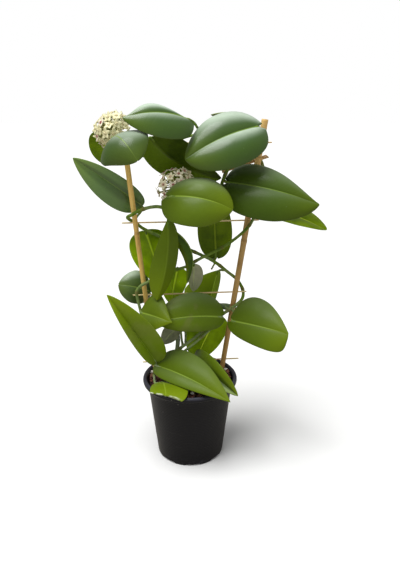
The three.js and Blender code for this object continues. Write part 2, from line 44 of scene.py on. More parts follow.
# the camera, at the photograph's place
cameraShape = {
    "lens": 32.37, "sensor": 36, "nearest": 0.01, "place": (0.0128, -0.5888, 0.4219), "tilt": 71.75,
}
cameraData = bpy.data.cameras.new("camera")
cameraData.lens = cameraShape["lens"]
cameraData.sensor_width = cameraShape["sensor"]
cameraData.clip_start = cameraShape["nearest"]
cameraObject = bpy.data.objects.new("camera", cameraData)
cameraObject.location = cameraShape["place"]
cameraObject.rotation_euler = (math.radians(cameraShape["tilt"]), 0, 0)
bpy.context.collection.objects.link(cameraObject)
bpy.context.scene.camera = cameraObject
print("camera placed")


# shader maths: a Reading is a socket that can be added, scaled and compared
class Reading:
    def __init__(self, finish, socket):
        self.finish = finish
        self.socket = socket

    def maths(self, operation, *others, clamp=False):
        sockets = {i: item for i, item in enumerate((self,) + others)}
        return self.finish.add("Math", {"operation": operation, "use_clamp": clamp}, sockets).read(0)

    def __add__(self, other):
        return self.maths("ADD", other)

    def __sub__(self, other):
        return self.maths("SUBTRACT", other)

    def __rsub__(self, other):
        return (self * -1) + other

    def __mul__(self, other):
        return self.maths("MULTIPLY", other)

    def __truediv__(self, other):
        return self.maths("DIVIDE", other)

    __radd__ = __add__
    __rmul__ = __mul__

    def size(self):
        return self.maths("ABSOLUTE")

    def clamped(self):
        return self.maths("MULTIPLY", 1.0, clamp=True)

    # 0 below low and 1 above high, with soft ends (low may be the larger)
    def ramp(self, low, high):
        settings = {"interpolation_type": "SMOOTHSTEP"}
        if low < high:
            return self.finish.add("MapRange", settings, {0: self, 1: low, 2: high, 3: 0.0, 4: 1.0}).read(0)
        return self.finish.add("MapRange", settings, {0: self, 1: high, 2: low, 3: 1.0, 4: 0.0}).read(0)


class Step:
    def __init__(self, finish, node):
        self.finish = finish
        self.node = node

    def read(self, name):
        return Reading(self.finish, self.node.outputs[name])


# a material and the steps to lay out its nodes
class Finish:
    def __init__(self, name):
        self.material = bpy.data.materials.new(name)
        self.material.use_nodes = True
        self.tree = self.material.node_tree
        self.tree.nodes.clear()
        self.place = self.add("TexCoord").read("Object")

    # one way to add any node: its kind, its settings, then the values or links of its sockets
    def add(self, kind, settings=None, sockets=None):
        node = self.tree.nodes.new("ShaderNode" + kind)
        for name, value in (settings or {}).items():
            setattr(node, name, value)
        for name, value in (sockets or {}).items():
            if isinstance(value, Reading):
                self.tree.links.new(value.socket, node.inputs[name])
            else:
                node.inputs[name].default_value = value
        return Step(self, node)

    def attribute(self, name):
        return self.add("Attribute", {"attribute_name": name}).read("Fac")

    def grain(self, scale, detail=3.0, stretch=(1, 1, 1), distortion=0.0):
        where = self.add("Mapping", {}, {"Vector": self.place, "Scale": stretch}).read(0)
        sockets = {"Vector": where, "Scale": scale, "Detail": detail, "Distortion": distortion}
        return self.add("TexNoise", {}, sockets).read("Fac")

    def cells(self, scale):
        return self.add("TexVoronoi", {}, {"Vector": self.place, "Scale": scale}).read("Distance")

    def heights(self):
        return self.add("SeparateXYZ", {}, {"Vector": self.place}).read("Z")

    # a mix of two colours, each a reading or red, green and blue as seen on a screen
    def blend(self, share, low, high):
        low, high = (paint(*colour) if isinstance(colour, tuple) else colour for colour in (low, high))
        return self.add("Mix", {"data_type": "RGBA"}, {0: share, 6: low, 7: high}).read(2)

    def relief(self, height, distance):
        return self.add("Bump", {}, {"Height": height, "Distance": distance}).read("Normal")

    def shade(self, colour, rough, bump, others=None):
        looks = {"Base Color": colour, "Roughness": rough, "Normal": bump} | (others or {})
        shader = self.add("BsdfPrincipled", {}, looks)
        self.add("OutputMaterial", {}, {"Surface": shader.read("BSDF")})
        return self.material


# a colour as seen on a screen, made linear
def paint(red, green, blue):
    shares = (red / 255, green / 255, blue / 255)
    return tuple(((c + 0.055) / 1.055) ** 2.4 if c > 0.04 else c / 12.92 for c in shares) + (1.0,)


# a geometry tree with named inputs, and the steps to lay it out
class Workshop:
    def __init__(self, name, inputs):
        self.tree = bpy.data.node_groups.new(name, "GeometryNodeTree")
        side = self.tree.interface
        side.new_socket("Geometry", in_out="INPUT", socket_type="NodeSocketGeometry")
        self.keys = {}
        for label, (kind, value) in inputs.items():
            socket = side.new_socket(label, in_out="INPUT", socket_type="NodeSocket" + kind)
            if value is not None:
                socket.default_value = value
            self.keys[label] = socket.identifier
        side.new_socket("Geometry", in_out="OUTPUT", socket_type="NodeSocketGeometry")
        self.given = self.tree.nodes.new("NodeGroupInput").outputs

    def add(self, kind, settings=None, sockets=None):
        node = self.tree.nodes.new(kind)
        for name, value in (settings or {}).items():
            setattr(node, name, value)
        for name, value in (sockets or {}).items():
            if isinstance(value, bpy.types.NodeSocket):
                self.tree.links.new(value, node.inputs[name])
            else:
                node.inputs[name].default_value = value
        return node.outputs

    def named(self, name, kind="FLOAT"):
        return self.add("GeometryNodeInputNamedAttribute", {"data_type": kind}, {"Name": name})["Attribute"]

    def close(self, geometry):
        whole = self.add("GeometryNodeRealizeInstances", {}, {"Geometry": geometry})["Geometry"]
        sockets = {"Geometry": whole, "Material": self.given["Material"]}
        done = self.add("GeometryNodeSetMaterial", {}, sockets)["Geometry"]
        self.tree.links.new(done, self.tree.nodes.new("NodeGroupOutput").inputs[0])


def objectOf(name, data):
    made = bpy.data.objects.new(name, data)
    bpy.context.collection.objects.link(made)
    return made


def plainMesh(carrier):
    bpy.context.view_layer.update()
    return bpy.data.meshes.new_from_object(carrier.evaluated_get(bpy.context.evaluated_depsgraph_get()))


# runs a tree on a mesh with these inputs and keeps the plain mesh that comes out
def make(name, mesh, workshop, values):
    carrier = objectOf(name + "Carrier", mesh)
    modifier = carrier.modifiers.new("shape", "NODES")
    modifier.node_group = workshop.tree
    for label, value in values.items():
        modifier[workshop.keys[label]] = value
    carrier.update_tag()
    result = plainMesh(carrier)
    carrier.modifiers.remove(modifier)
    bpy.data.objects.remove(carrier)
    result.name = name
    return result


def emptyMesh(name, points, edges=(), faces=()):
    mesh = bpy.data.meshes.new(name)
    mesh.from_pydata(points, edges, faces)
    return mesh


def meshOf(name, body):
    mesh = bpy.data.meshes.new(name)
    body.to_mesh(mesh)
    body.free()
    return mesh


# quads between each ring of corners and the next; a pole is a ring of one corner again and again
def joinRings(body, rings):
    for low, high in zip(rings, rings[1:]):
        for j in range(len(low)):
            k = (j + 1) % len(low)
            body.faces.new(list(dict.fromkeys((low[j], low[k], high[k], high[j]))))


def turnsOf(sides):
    return [2 * math.pi * j / sides for j in range(sides)]


# keeps a value for each point of a mesh, for its material or a tree to read
def note(mesh, name, values, kind="FLOAT"):
    layer = mesh.attributes.new(name, kind, "POINT")
    flat = [c for value in values for c in value] if kind == "FLOAT_VECTOR" else list(values)
    layer.data.foreach_set("vector" if kind == "FLOAT_VECTOR" else "value", flat)


# joins the meshes into one piece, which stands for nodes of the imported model
def pieceOf(name, meshes, slotName, *nodes):
    parts = [objectOf(name, mesh) for mesh in meshes]
    piece = parts[0]
    if len(parts) > 1:
        with bpy.context.temp_override(active_object=piece, selected_editable_objects=parts, object=piece):
            bpy.ops.object.join()
    piece.name = name
    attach(piece, "root")
    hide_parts(*nodes)


def camel(node):
    first, *rest = node.split("_")
    return first + "".join(word.capitalize() for word in rest)


# tubes along a path: vines, leaf stalks, canes, rungs and floret stalks
tubeWorks = Workshop("stemTube", {"Sides": ("Int", 12), "Material": ("Material", None)})
tubePath = tubeWorks.add("GeometryNodeMeshToCurve", {}, {"Mesh": tubeWorks.given["Geometry"]})["Curve"]
tubeSize = {"Resolution": tubeWorks.given["Sides"], "Radius": 1.0}
tubeRound = tubeWorks.add("GeometryNodeCurvePrimitiveCircle", {}, tubeSize)["Curve"]
tubeThick = tubeWorks.named("thick")
tubeParts = {"Curve": tubePath, "Profile Curve": tubeRound, "Scale": tubeThick, "Fill Caps": True}
tubeSkin = tubeWorks.add("GeometryNodeCurveToMesh", {}, tubeParts)["Mesh"]
tubeWorks.close(tubeWorks.add("GeometryNodeSetShadeSmooth", {}, {"Geometry": tubeSkin})["Geometry"])


# strands are lists of (place, radius, tone); all are in millimetres until here
def tubes(name, strands, material, sides):
    points, edges, thick, tone = [], [], [], []
    for strand in strands:
        first = len(points)
        for place, radius, share in strand:
            points.append(place * mm)
            thick.append(radius * mm)
            tone.append(share)
        edges += [(i, i + 1) for i in range(first, len(points) - 1)]
    mesh = emptyMesh(name, points, edges)
    note(mesh, "thick", thick)
    note(mesh, "tone", tone)
    return make(name, mesh, tubeWorks, {"Sides": sides, "Material": material})


# points on a smooth centripetal curve through the given ones
def smoothPath(points, steps):
    points = [Vector(p) for p in points]
    ends = [points[0] * 2 - points[1]] + points + [points[-1] * 2 - points[-2]]
    path = []
    for i in range(1, len(ends) - 2):
        p0, p1, p2, p3 = ends[i - 1 : i + 3]
        t1 = (p1 - p0).length ** 0.5
        t2 = t1 + (p2 - p1).length ** 0.5
        t3 = t2 + (p3 - p2).length ** 0.5
        for k in range(steps):
            t = t1 + (t2 - t1) * k / steps
            a1 = p0 * ((t1 - t) / t1) + p1 * (t / t1)
            a2 = p1 * ((t2 - t) / (t2 - t1)) + p2 * ((t - t1) / (t2 - t1))
            a3 = p2 * ((t3 - t) / (t3 - t2)) + p3 * ((t - t2) / (t3 - t2))
            b1 = a1 * ((t2 - t) / t2) + a2 * (t / t2)
            b2 = a2 * ((t3 - t) / (t3 - t1)) + a3 * ((t - t1) / (t3 - t1))
            path.append(b1 * ((t2 - t) / (t2 - t1)) + b2 * ((t - t1) / (t2 - t1)))
    return path + [points[-1]]


def between(low, high, value):
    return max(0.0, min(1.0, (value - low) / (high - low)))


# 1 at the middle of a swelling, and next to nothing two spreads away
def hump(away, spread):
    return math.exp(-((away / spread) ** 2))


print("tools ready")

# the pot: a thin moulded shell with a rounded flange and notches round its foot
potShape = {
    "height": 106.5, "rimRadius": 60, "bodyTopRadius": 53.7, "baseRadius": 42.6, "lip": 98, "wall": 1.5,
    "floor": 2.2, "notches": 8, "notchHeight": 2.5, "notchDegrees": 26, "notchDepth": 10, "notchTurn": 0.11,
    "notchBevel": 0.8, "sides": 160, "sharp": 35,
    "under": ((0, 0.6), (30, 0.6), (34, 0)),  # radius and height
    # in from the rim, and up from the lip
    "flange": ((3.4, 0.4), (1.6, 1.3), (0.5, 2.7), (0.05, 4.4), (0.1, 6), (0.5, 7.3)),
    "crest": ((1.3, 0.25), (2.2, 0), (3.4, 0), (4.1, 0.4), (4.6, 1.2)),  # in from the rim, down from the top
    "inside": (96, 90, 80, 60, 40, 20, 4, 2.2),  # heights down the inner wall
}


def potPlastic():
    f = Finish("blackPlastic")
    speckle = f.grain(900, 2)
    cloud = f.grain(28, 4, (1, 1, 0.5))
    scuff = f.grain(60, 5, (1, 1, 7), distortion=0.6).ramp(0.62, 0.74)
    dots = f.cells(95).ramp(0.09, 0.03) * f.grain(22).ramp(0.55, 0.62)
    height = f.heights()
    # pale bluish grey near the top of the rim: dust, together with a painted sheen of the light falling on the
    # rim
    rimDustAndSheen = height.ramp(0.1025, 0.1055) * (0.5 + 0.5 * f.grain(70, 4))
    splash = height.ramp(0.012, 0.0) * f.grain(120, 4).ramp(0.45, 0.7)
    colour = f.blend(cloud, (6, 6, 11), (11, 11, 20))
    colour = f.blend(scuff * 0.12, colour, (80, 76, 78))
    colour = f.blend((rimDustAndSheen * 0.4 + splash * 0.3).clamped(), colour, (96, 96, 112))
    colour = f.blend(dots * 0.8, colour, (150, 146, 140))
    rough = 0.3 + 0.1 * cloud + 0.2 * scuff + 0.12 * rimDustAndSheen
    rings = height.maths("MULTIPLY", 2600.0).maths("SINE")  # the faint turning marks of the mould
    bump = f.relief(speckle + 0.35 * rings + scuff, 0.00012)
    return f.shade(colour, rough, bump, {"Specular IOR Level": 0.3})


def bodyRadius(z):
    return potShape["baseRadius"] + (potShape["bodyTopRadius"] - potShape["baseRadius"]) * z / potShape["lip"]


def potMesh():
    top, rim, lip, wall = potShape["height"], potShape["rimRadius"], potShape["lip"], potShape["wall"]
    profile = list(potShape["under"])
    profile += [(bodyRadius(0) - 1.2, 0), (bodyRadius(0.5) - 0.3, 0.4), (bodyRadius(1.4), 1.4)]
    profile += [(bodyRadius(z), z) for z in range(8, lip - 4, 6)]
    profile += [(bodyRadius(lip - 2), lip - 2), (bodyRadius(lip) + 0.3, lip - 0.4)]
    profile += [(rim - inward, lip + up) for inward, up in potShape["flange"]]
    profile += [(rim - inward, top - down) for inward, down in potShape["crest"]]
    profile += [(bodyRadius(lip) - wall + 0.4, lip - 0.2)]
    profile += [(bodyRadius(z) - wall, z) for z in potShape["inside"]] + [(0, potShape["floor"])]
    sides = potShape["sides"]
    shell = bmesh.new()
    rings = []
    for r, z in profile:
        if r == 0:
            rings.append([shell.verts.new((0, 0, z * mm))] * sides)
        else:
            corners = [(r * mm * math.cos(a), r * mm * math.sin(a), z * mm) for a in turnsOf(sides)]
            rings.append([shell.verts.new(corner) for corner in corners])
    joinRings(shell, rings)
    bmesh.ops.recalc_face_normals(shell, faces=shell.faces)
    return meshOf("pot", shell)


def notchCutter():
    cutter = bmesh.new()
    width = 2 * potShape["baseRadius"] * math.sin(math.radians(potShape["notchDegrees"] / 2))
    for i in range(potShape["notches"]):
        turn = Matrix.Rotation((i + potShape["notchTurn"]) / potShape["notches"] * 2 * math.pi, 4, "Z")
        place = turn @ Matrix.Translation(((potShape["baseRadius"] + 1.2) * mm, 0, 0))
        size = Matrix.Diagonal((potShape["notchDepth"] * mm, width * mm, 2 * potShape["notchHeight"] * mm, 1))
        bmesh.ops.create_cube(cutter, size=1, matrix=place @ size)
    bevel = potShape["notchBevel"] * mm
    bmesh.ops.bevel(cutter, geom=list(cutter.edges), offset=bevel, segments=2, affect="EDGES")
    return meshOf("notches", cutter)


potObject, cutterObject = objectOf("potBlank", potMesh()), objectOf("notchBlank", notchCutter())
carve = potObject.modifiers.new("notches", "BOOLEAN")
carve.object = cutterObject
carve.operation = "DIFFERENCE"
carve.solver = "EXACT"
carved = plainMesh(potObject)
for blank in (potObject, cutterObject):
    bpy.data.objects.remove(blank)
carved.materials.clear()
carved.materials.append(potPlastic())
carved.shade_smooth()
carved.set_sharp_from_angle(angle=math.radians(potShape["sharp"]))
pieceOf("potShell", [carved], "pot", "pot")
print("pot made")

# the filling: a mound of bark chips with some perlite
soilShape = {
    "top": 101, "mound": 2, "chip": 0.9, "rings": 26, "sides": 96, "raised": 2.2, "sunk": 1.4, "cells": 24,
    "below": (98, 40, 2.5),  # heights of the rings down the pot's inside
    # where single lumps lie, and their size
    "grit": ((-49, 14.5, 3.2), (47.5, 19.5, 3.4), (3.5, -45, 2.8), (-3, -38.5, 1.9), (44, 26, 2.2)),
}
# what is strewn over it: two sizes of each chip with their seeds, and how many lie on a square metre
chipShape = {
    "bark": {
        "flat": (3.4, 2.1, 0.7, 1), "long": (4.6, 1.2, 0.9, 5), "reach": 52, "density": 95000.0, "seed": 4,
        "sizes": (0.35, 1.05),
    },
    "perlite": {
        "flat": (1.3, 1.2, 1, 9), "long": (0.9, 0.8, 0.7, 12), "reach": 47, "density": 5200.0, "seed": 21,
        "sizes": (0.5, 1.3),
    },
}


def soilHeight(x, y):
    r = math.hypot(x, y) / potShape["bodyTopRadius"]
    bumps = math.sin(x * 0.55 + y * 0.21) * math.cos(y * 0.47 - x * 0.18) + 0.5 * math.sin(x * 1.3 - y * 0.9)
    return soilShape["top"] + soilShape["mound"] * (1 - r * r) + soilShape["chip"] * bumps


def barkFinish():
    f = Finish("barkChips")
    pick = f.attribute("pick")
    colour = f.blend(pick.ramp(0.0, 0.55), (58, 32, 28), (124, 74, 58))
    colour = f.blend(pick.ramp(0.6, 0.95), colour, (150, 104, 82))
    fibre = f.grain(420, 4, (1, 1, 0.4))
    colour = f.blend(fibre.ramp(0.35, 0.7) * 0.5, colour, (34, 22, 17))
    return f.shade(colour, 0.85 + 0.1 * fibre, f.relief(fibre, 0.0006))


def perliteFinish():
    f = Finish("perlite")
    grain = f.grain(700, 4)
    colour = f.blend(grain.ramp(0.3, 0.65), (186, 176, 160), (238, 234, 226))
    return f.shade(colour, 0.75 + 0.2 * grain, f.relief(grain, 0.0005))


# a rough lump, flat or round, of a few dozen faces
def lump(name, size, seed):
    body = bmesh.new()
    bmesh.ops.create_icosphere(body, subdivisions=1, radius=1)
    for v in body.verts:
        v.co *= 1 + 0.35 * noise(v.co * 1.3 + Vector((seed, 0, 0)))
        v.co = Vector((v.co.x * size[0], v.co.y * size[1], v.co.z * size[2])) * mm
    return meshOf(name, body)


scatterWorks = Workshop(
    "scatterChips",
    {
        "Density": ("Float", 1.0), "Seed": ("Int", 1), "Smallest": ("Float", 0.6), "Largest": ("Float", 1.3),
        "Flat chip": ("Object", None), "Long chip": ("Object", None), "Material": ("Material", None),
    },
)
given = scatterWorks.given
spreadOver = {"Mesh": given["Geometry"], "Density": given["Density"], "Seed": given["Seed"]}
spread = scatterWorks.add("GeometryNodeDistributePointsOnFaces", {}, spreadOver)
chipKinds = scatterWorks.add("GeometryNodeGeometryToInstance")
for label in ("Flat chip", "Long chip"):
    chip = scatterWorks.add("GeometryNodeObjectInfo", {}, {"Object": given[label]})["Geometry"]
    scatterWorks.tree.links.new(chip, chipKinds[0].node.inputs[0])


# a random value for each chip
def chance(kind, sockets):
    return scatterWorks.add("FunctionNodeRandomValue", {"data_type": kind}, sockets)["Value"]


leaning = chance("FLOAT_VECTOR", {"Min": (-0.7, -0.7, 0.0), "Max": (0.7, 0.7, 6.283), "Seed": given["Seed"]})
turnedChip = scatterWorks.add("FunctionNodeEulerToRotation", {}, {"Euler": leaning})["Rotation"]
chipSize = chance("FLOAT", {"Min": given["Smallest"], "Max": given["Largest"], "Seed": 7})
chipLay = {
    "Points": spread["Points"], "Instance": chipKinds[0], "Pick Instance": True, "Rotation": turnedChip,
    "Scale": chipSize,
}
laid = scatterWorks.add("GeometryNodeInstanceOnPoints", {}, chipLay)["Instances"]
chipPick = chance("FLOAT", {"Min": 0.0, "Max": 1.0, "Seed": 3})
pickKind = {"data_type": "FLOAT", "domain": "INSTANCE"}
picked = {"Geometry": laid, "Name": "pick", "Value": chipPick}
scatterWorks.close(scatterWorks.add("GeometryNodeStoreNamedAttribute", pickKind, picked)["Geometry"])


# the mound under the chips, and its sides and bottom inside the pot
def soilMesh(material):
    body = bmesh.new()
    sides, rings = soilShape["sides"], soilShape["rings"]
    reach = bodyRadius(soilShape["below"][0]) - potShape["wall"] - 0.5
    rows = [(reach * i / rings, None) for i in range(1, rings)]
    rows += [(bodyRadius(z) - potShape["wall"] - 0.5, z) for z in soilShape["below"]]
    crown = body.verts.new((0, 0, soilHeight(0, 0) * mm))
    before = None
    for r, z in rows:
        ring = []
        for a in turnsOf(sides):
            x, y = r * math.cos(a), r * math.sin(a)
            bumps = 1.1 * noise(Vector((x, y, 0)) * 0.35)
            level = z or soilHeight(x, y) + soilShape["raised"] - soilShape["sunk"] + bumps
            ring.append(body.verts.new((x * mm, y * mm, level * mm)))
        for j in range(sides):
            k = (j + 1) % sides
            inner = (before[j], ring[j], ring[k], before[k]) if before else (crown, ring[j], ring[k])
            body.faces.new(inner)
        before = ring
    body.faces.new(list(reversed(before)))
    mesh = meshOf("soil", body)
    mesh.materials.append(material)
    mesh.shade_smooth()
    note(mesh, "pick", [0.1 + 0.2 * noise(v.co * 300) for v in mesh.vertices])
    return mesh


# the sheet on which chips are strewn, a little higher towards the wall
def soilTop(reach):
    cells, points, faces = soilShape["cells"], [], []
    around = cells * 2
    for i in range(cells + 1):
        for a in turnsOf(around):
            r = reach * (i + 0.05) / (cells + 0.05)
            x, y = r * math.cos(a), r * math.sin(a)
            lift = soilShape["raised"] - 0.5 + 1.2 * (r / 52) ** 6
            points.append((x * mm, y * mm, (soilHeight(x, y) + lift) * mm))
    for i in range(cells):
        for j in range(around):
            k = (j + 1) % around
            faces.append((i * around + j, (i + 1) * around + j, (i + 1) * around + k, i * around + k))
    return emptyMesh("soilTop", points, (), faces)


chipMaterial = {"bark": barkFinish(), "perlite": perliteFinish()}
chipMeshes = {}
for kind, row in chipShape.items():
    shown = {}
    for label in ("flat", "long"):
        shown[label] = objectOf(kind + label, lump(kind, row[label][:3], row[label][3]))
    smallest, largest = row["sizes"]
    values = {
        "Density": row["density"], "Seed": row["seed"], "Smallest": smallest, "Largest": largest,
        "Flat chip": shown["flat"], "Long chip": shown["long"], "Material": chipMaterial[kind],
    }
    chipMeshes[kind] = make(kind, soilTop(row["reach"]), scatterWorks, values)
    for chip in shown.values():
        bpy.data.objects.remove(chip)
chipMeshes["perlite"].transform(Matrix.Translation((0, 0, 0.9 * mm)))
grit = []
for i, (x, y, size) in enumerate(soilShape["grit"]):
    stone = lump("grit", (size, size * 0.85, size * 0.75), 20 + i)
    level = soilHeight(x, y) + soilShape["raised"] + 0.8
    stone.transform(Matrix.Translation((x * mm, y * mm, level * mm)))
    stone.materials.append(chipMaterial["perlite"])
    grit.append(stone)
soilParts = [soilMesh(chipMaterial["bark"]), chipMeshes["bark"], chipMeshes["perlite"]] + grit
pieceOf("soilFilling", soilParts, "soil", "soil")
print("filling made")

# the ladder: two canes, four rungs and a brace
caneShape = {
    "cane_left": {
        "foot": (-43, 18, 78), "top": (-74, 13.5, 402), "radius": (2.9, 3.2),
        "nodes": (0.1, 0.38, 0.645, 0.93),
    },
    "cane_right": {
        "foot": (38.3, 24, 78), "top": (88, 34, 418), "radius": (3.3, 4),
        "nodes": (0.06, 0.33, 0.58, 0.87),
    },
}
caneNode = {
    "swell": 0.11, "swellSpread": 2.2, "pinch": 0.07, "pinchAt": 3.4, "pinchSpread": 1.6, "ringAt": 1.6,
    "ringSpread": 1.1,
}
rungShape = {
    "rung_1": {"height": 392.5, "past": (13, 13)},
    "rung_2": {"height": 301, "past": (16, 14)},
    "rung_3": {"height": 209.5, "past": (15.5, 14.5)},
    "rung_4": {"height": 116.5, "past": (15.5, 20)},
    "radius": 0.95,
}
braceShape = {"left": (39, 36, 359), "right": (95, 40, 377), "radius": 2.4, "slant": 3.2}


# "tone" is 1 on a node's dark ring, and the last value makes all but the top of a cane browner towards the
# bottom
def bambooFinish(name, light, dark, stretch, fine, lowBrowning=0):
    f = Finish(name)
    ring = f.attribute("tone")
    fibres = f.grain(520 * fine, 4, stretch)
    bands = f.grain(110 * fine, 3, stretch, distortion=0.3)
    blotch = f.grain(34, 3)
    colour = f.blend(bands.ramp(0.3, 0.7), dark, light)
    colour = f.blend(fibres.ramp(0.55, 0.75) * 0.35, colour, (150, 108, 60))
    colour = f.blend(blotch.ramp(0.56, 0.75) * 0.35, colour, (170, 124, 76))
    colour = f.blend(ring * 0.65, colour, (110, 76, 42))
    lowBrowned = lowBrowning * f.heights().ramp(0.37, 0.3) * (0.7 + 0.3 * blotch)
    colour = f.blend(lowBrowned, colour, (150, 104, 50))
    rough = 0.42 + 0.2 * fibres + 0.2 * ring
    return f.shade(colour, rough, f.relief(fibres + 0.6 * bands, 0.00035), {"Coat Weight": 0.12})


lengthwise, crosswise = (1, 1, 0.035), (0.05, 1, 1)
golden, straw = ((255, 226, 132), (255, 208, 112)), ((255, 216, 136), (236, 190, 112))
caneFinish = {
    "cane_left": bambooFinish("bambooCaneLeft", *golden, lengthwise, 1),
    "cane_right": bambooFinish("bambooCaneRight", *straw, lengthwise, 1, 0.6),
}
rungFinish = bambooFinish("bambooSkewer", (255, 236, 180), (240, 200, 140), crosswise, 2)
braceFinish = bambooFinish("bambooBrace", (222, 186, 130), (196, 150, 96), crosswise, 1)


def caneStrand(cane):
    foot, top = Vector(cane["foot"]), Vector(cane["top"])
    length = (top - foot).length
    strand = []
    steps = 170
    for i in range(steps + 1):
        share = i / steps
        radius = cane["radius"][0] + (cane["radius"][1] - cane["radius"][0]) * share
        tone = 0
        for nodeAt in cane["nodes"]:
            away = (share - nodeAt) * length
            swelling = caneNode["swell"] * hump(away, caneNode["swellSpread"])
            pinch = caneNode["pinch"] * hump(away - caneNode["pinchAt"], caneNode["pinchSpread"])
            radius *= 1 + swelling - pinch
            tone = max(tone, hump(away - caneNode["ringAt"], caneNode["ringSpread"]))
        radius *= 0.99 + 0.02 * noise(Vector((share * 9, cane["radius"][1], 0)))
        strand.append((foot.lerp(top, share), radius, tone))
    strand.insert(0, (foot, strand[0][1] - 0.5, 0))
    strand.append((strand[-1][0] + (top - foot).normalized() * 0.4, strand[-1][1] - 0.45, 0.4))
    return strand


def caneAt(cane, height):
    foot, top = Vector(cane["foot"]), Vector(cane["top"])
    return foot.lerp(top, (height - foot.z) / (top.z - foot.z))


for node in ("cane_left", "cane_right"):
    pieceOf(camel(node), [tubes(node, [caneStrand(caneShape[node])], caneFinish[node], 28)], "bamboo", node)
for node in ("rung_1", "rung_2", "rung_3", "rung_4"):
    left, right = (caneAt(caneShape[side], rungShape[node]["height"]) for side in ("cane_left", "cane_right"))
    way = (right - left).normalized()
    left, right = left - way * rungShape[node]["past"][0], right + way * rungShape[node]["past"][1]
    steps = 60
    strand = []
    for i in range(steps + 1):
        place = left.lerp(right, i / steps)
        radius = rungShape["radius"] * (0.97 + 0.06 * noise(place * 0.08))
        strand.append((place, radius * (0.8 if i in (0, steps) else 1), 0))
    pieceOf(camel(node), [tubes(node, [strand], rungFinish, 14)], "skewer", node)


def braceMesh():
    left, right = Vector(braceShape["left"]), Vector(braceShape["right"])
    steps = 60
    strand = []
    for i in range(steps + 1):
        share = i / steps
        ring = hump((share - 0.42) * 59, 2)
        strand.append((left.lerp(right, share), braceShape["radius"] * (0.96 + 0.08 * ring), ring * 0.8))
    mesh = tubes("brace", [strand], braceFinish, 20)
    way = (right - left).normalized()
    for v in mesh.vertices:  # the right end is cut to a slant
        along = (v.co / mm - left).dot(way) - (right - left).length
        if along > -7:
            lift = (v.co / mm - (left + way * (v.co / mm - left).dot(way))).z / braceShape["radius"]
            v.co += way * mm * (-braceShape["slant"] * (0.5 + 0.5 * lift)) * between(-7, 0, along)
    return mesh


pieceOf("brace", [braceMesh()], "bamboo", "brace")
print("ladder made")

# the vines, each through points from its root to its end
vineShape = {
    "vine_left": {
        "radius": 1.8,
        "points": [
            (-45, 1, 80), (-47, 2, 100), (-45, 3, 125), (-51, 6, 146), (-58, 7, 168), (-61, 7, 190),
            (-64, 7, 206), (-65, 7, 217), (-60, 7, 224), (-48, 9, 230), (-33, 14, 236), (-18, 19, 241),
            (-4, 21, 245), (3, 22, 249), (19, 22, 258), (37, 22, 267), (52, 22, 277), (65, 22, 288),
            (73, 22, 297), (79, 24, 308), (87, 30, 322), (91, 38, 338), (92, 46, 354), (87, 50, 370),
            (79, 49, 386), (74, 46, 400),
        ],
    },
    "vine_right": {
        "radius": 2,
        "points": [
            (-25, 11, 80), (-24, 11, 108), (-20, 8, 128), (-12, 4, 142), (0, 2, 152), (13, 5, 162),
            (32, 13, 177), (50, 21, 188), (60, 22, 195), (67, 28, 201), (68, 36, 209), (61, 41, 221),
            (48, 38, 233), (30, 34, 248), (0, 30, 264), (-29, 28, 278), (-57, 26, 292), (-65, 24, 299),
            (-72, 20, 304), (-73, 13, 308), (-67, 7, 312), (-58, 6, 317), (-45, 6, 321), (-33, 2, 322),
            (-18, 6, 315), (0, 12, 314), (20, 15, 320), (35, 14, 336), (39, 13, 350), (44, 14, 362),
            (56, 18, 380), (62, 20, 394), (54, 20, 403), (34, 18, 406), (12, 16, 407),
        ],
    },
    "vine_twin": {
        "radius": 1.7,
        "points": [
            (-21, 5, 80), (-20, 5, 108), (-16, 2, 127), (-8, -1, 139), (3, -2, 149), (15, 1, 159),
            (33, 10, 173), (42, 14, 181),
        ],
    },
    "vine_top": {
        "radius": 1.5,
        "points": [
            (77, 47, 393), (66, 46, 400), (50, 47, 404), (22, 50, 403), (-6, 52, 397), (-28, 50, 387),
            (-40, 46, 379), (-49, 36, 376), (-56, 21, 379), (-62, 8, 384), (-68, 0, 387), (-73, -8, 388),
        ],
    },
}
vineLook = {"swell": 0.22, "nodeEvery": 41, "stretch": 2.6, "sides": 18}
stubShape = {"vine": "vine_right", "to": (27, 31, 238), "radius": 1.1}


# "tone" is 1 where the bark is brown, at nodes and towards the foot
def vineFinish():
    f = Finish("vineBark")
    brown = f.attribute("tone")
    mottle = f.grain(150, 4)
    pale = f.grain(45, 3).ramp(0.45, 0.7)
    specks = f.cells(900).ramp(0.22, 0.08)
    colour = f.blend(mottle.ramp(0.3, 0.7), (86, 120, 22), (130, 158, 60))
    foot = f.heights().ramp(0.2, 0.15)
    colour = f.blend((pale * 0.5 + foot * 0.55).clamped(), colour, (160, 176, 128))
    colour = f.blend((brown * (0.4 + mottle)).clamped(), colour, (122, 104, 58))
    colour = f.blend(specks * 0.35, colour, (96, 84, 48))
    bump = f.relief(mottle + 0.3 * specks, 0.0004)
    return f.shade(colour, 0.5 + 0.2 * mottle, bump, {"Specular IOR Level": 0.2})


vinePaths = {name: smoothPath(vine["points"], 10) for name, vine in vineShape.items()}


def vineStrand(name):
    path, radius, every = vinePaths[name], vineShape[name]["radius"], vineLook["nodeEvery"]
    shift = sum(map(ord, name)) % 17
    strand, gone = [], 0.0
    for i, place in enumerate(path):
        gone += (place - path[i - 1]).length if i else 0
        away = (gone + shift + 6 * noise(Vector((gone * 0.02, shift, 0)))) % every - every / 2
        knot = hump(away, vineLook["stretch"])
        thick = radius * (1 + vineLook["swell"] * knot + 0.05 * noise(place * 0.12))
        brown = 0.75 * knot + 0.6 * between(140, 100, place.z)
        strand.append((place, thick, min(1, brown)))
    for end, factor in ((0, 0.5), (-1, 0.45)):
        place, thick, brown = strand[end]
        strand[end] = (place, thick * factor, brown)
    return strand


vineMaterial = vineFinish()
for name in vineShape:
    pieceOf(camel(name), [tubes(name, [vineStrand(name)], vineMaterial, vineLook["sides"])], "vine", name)


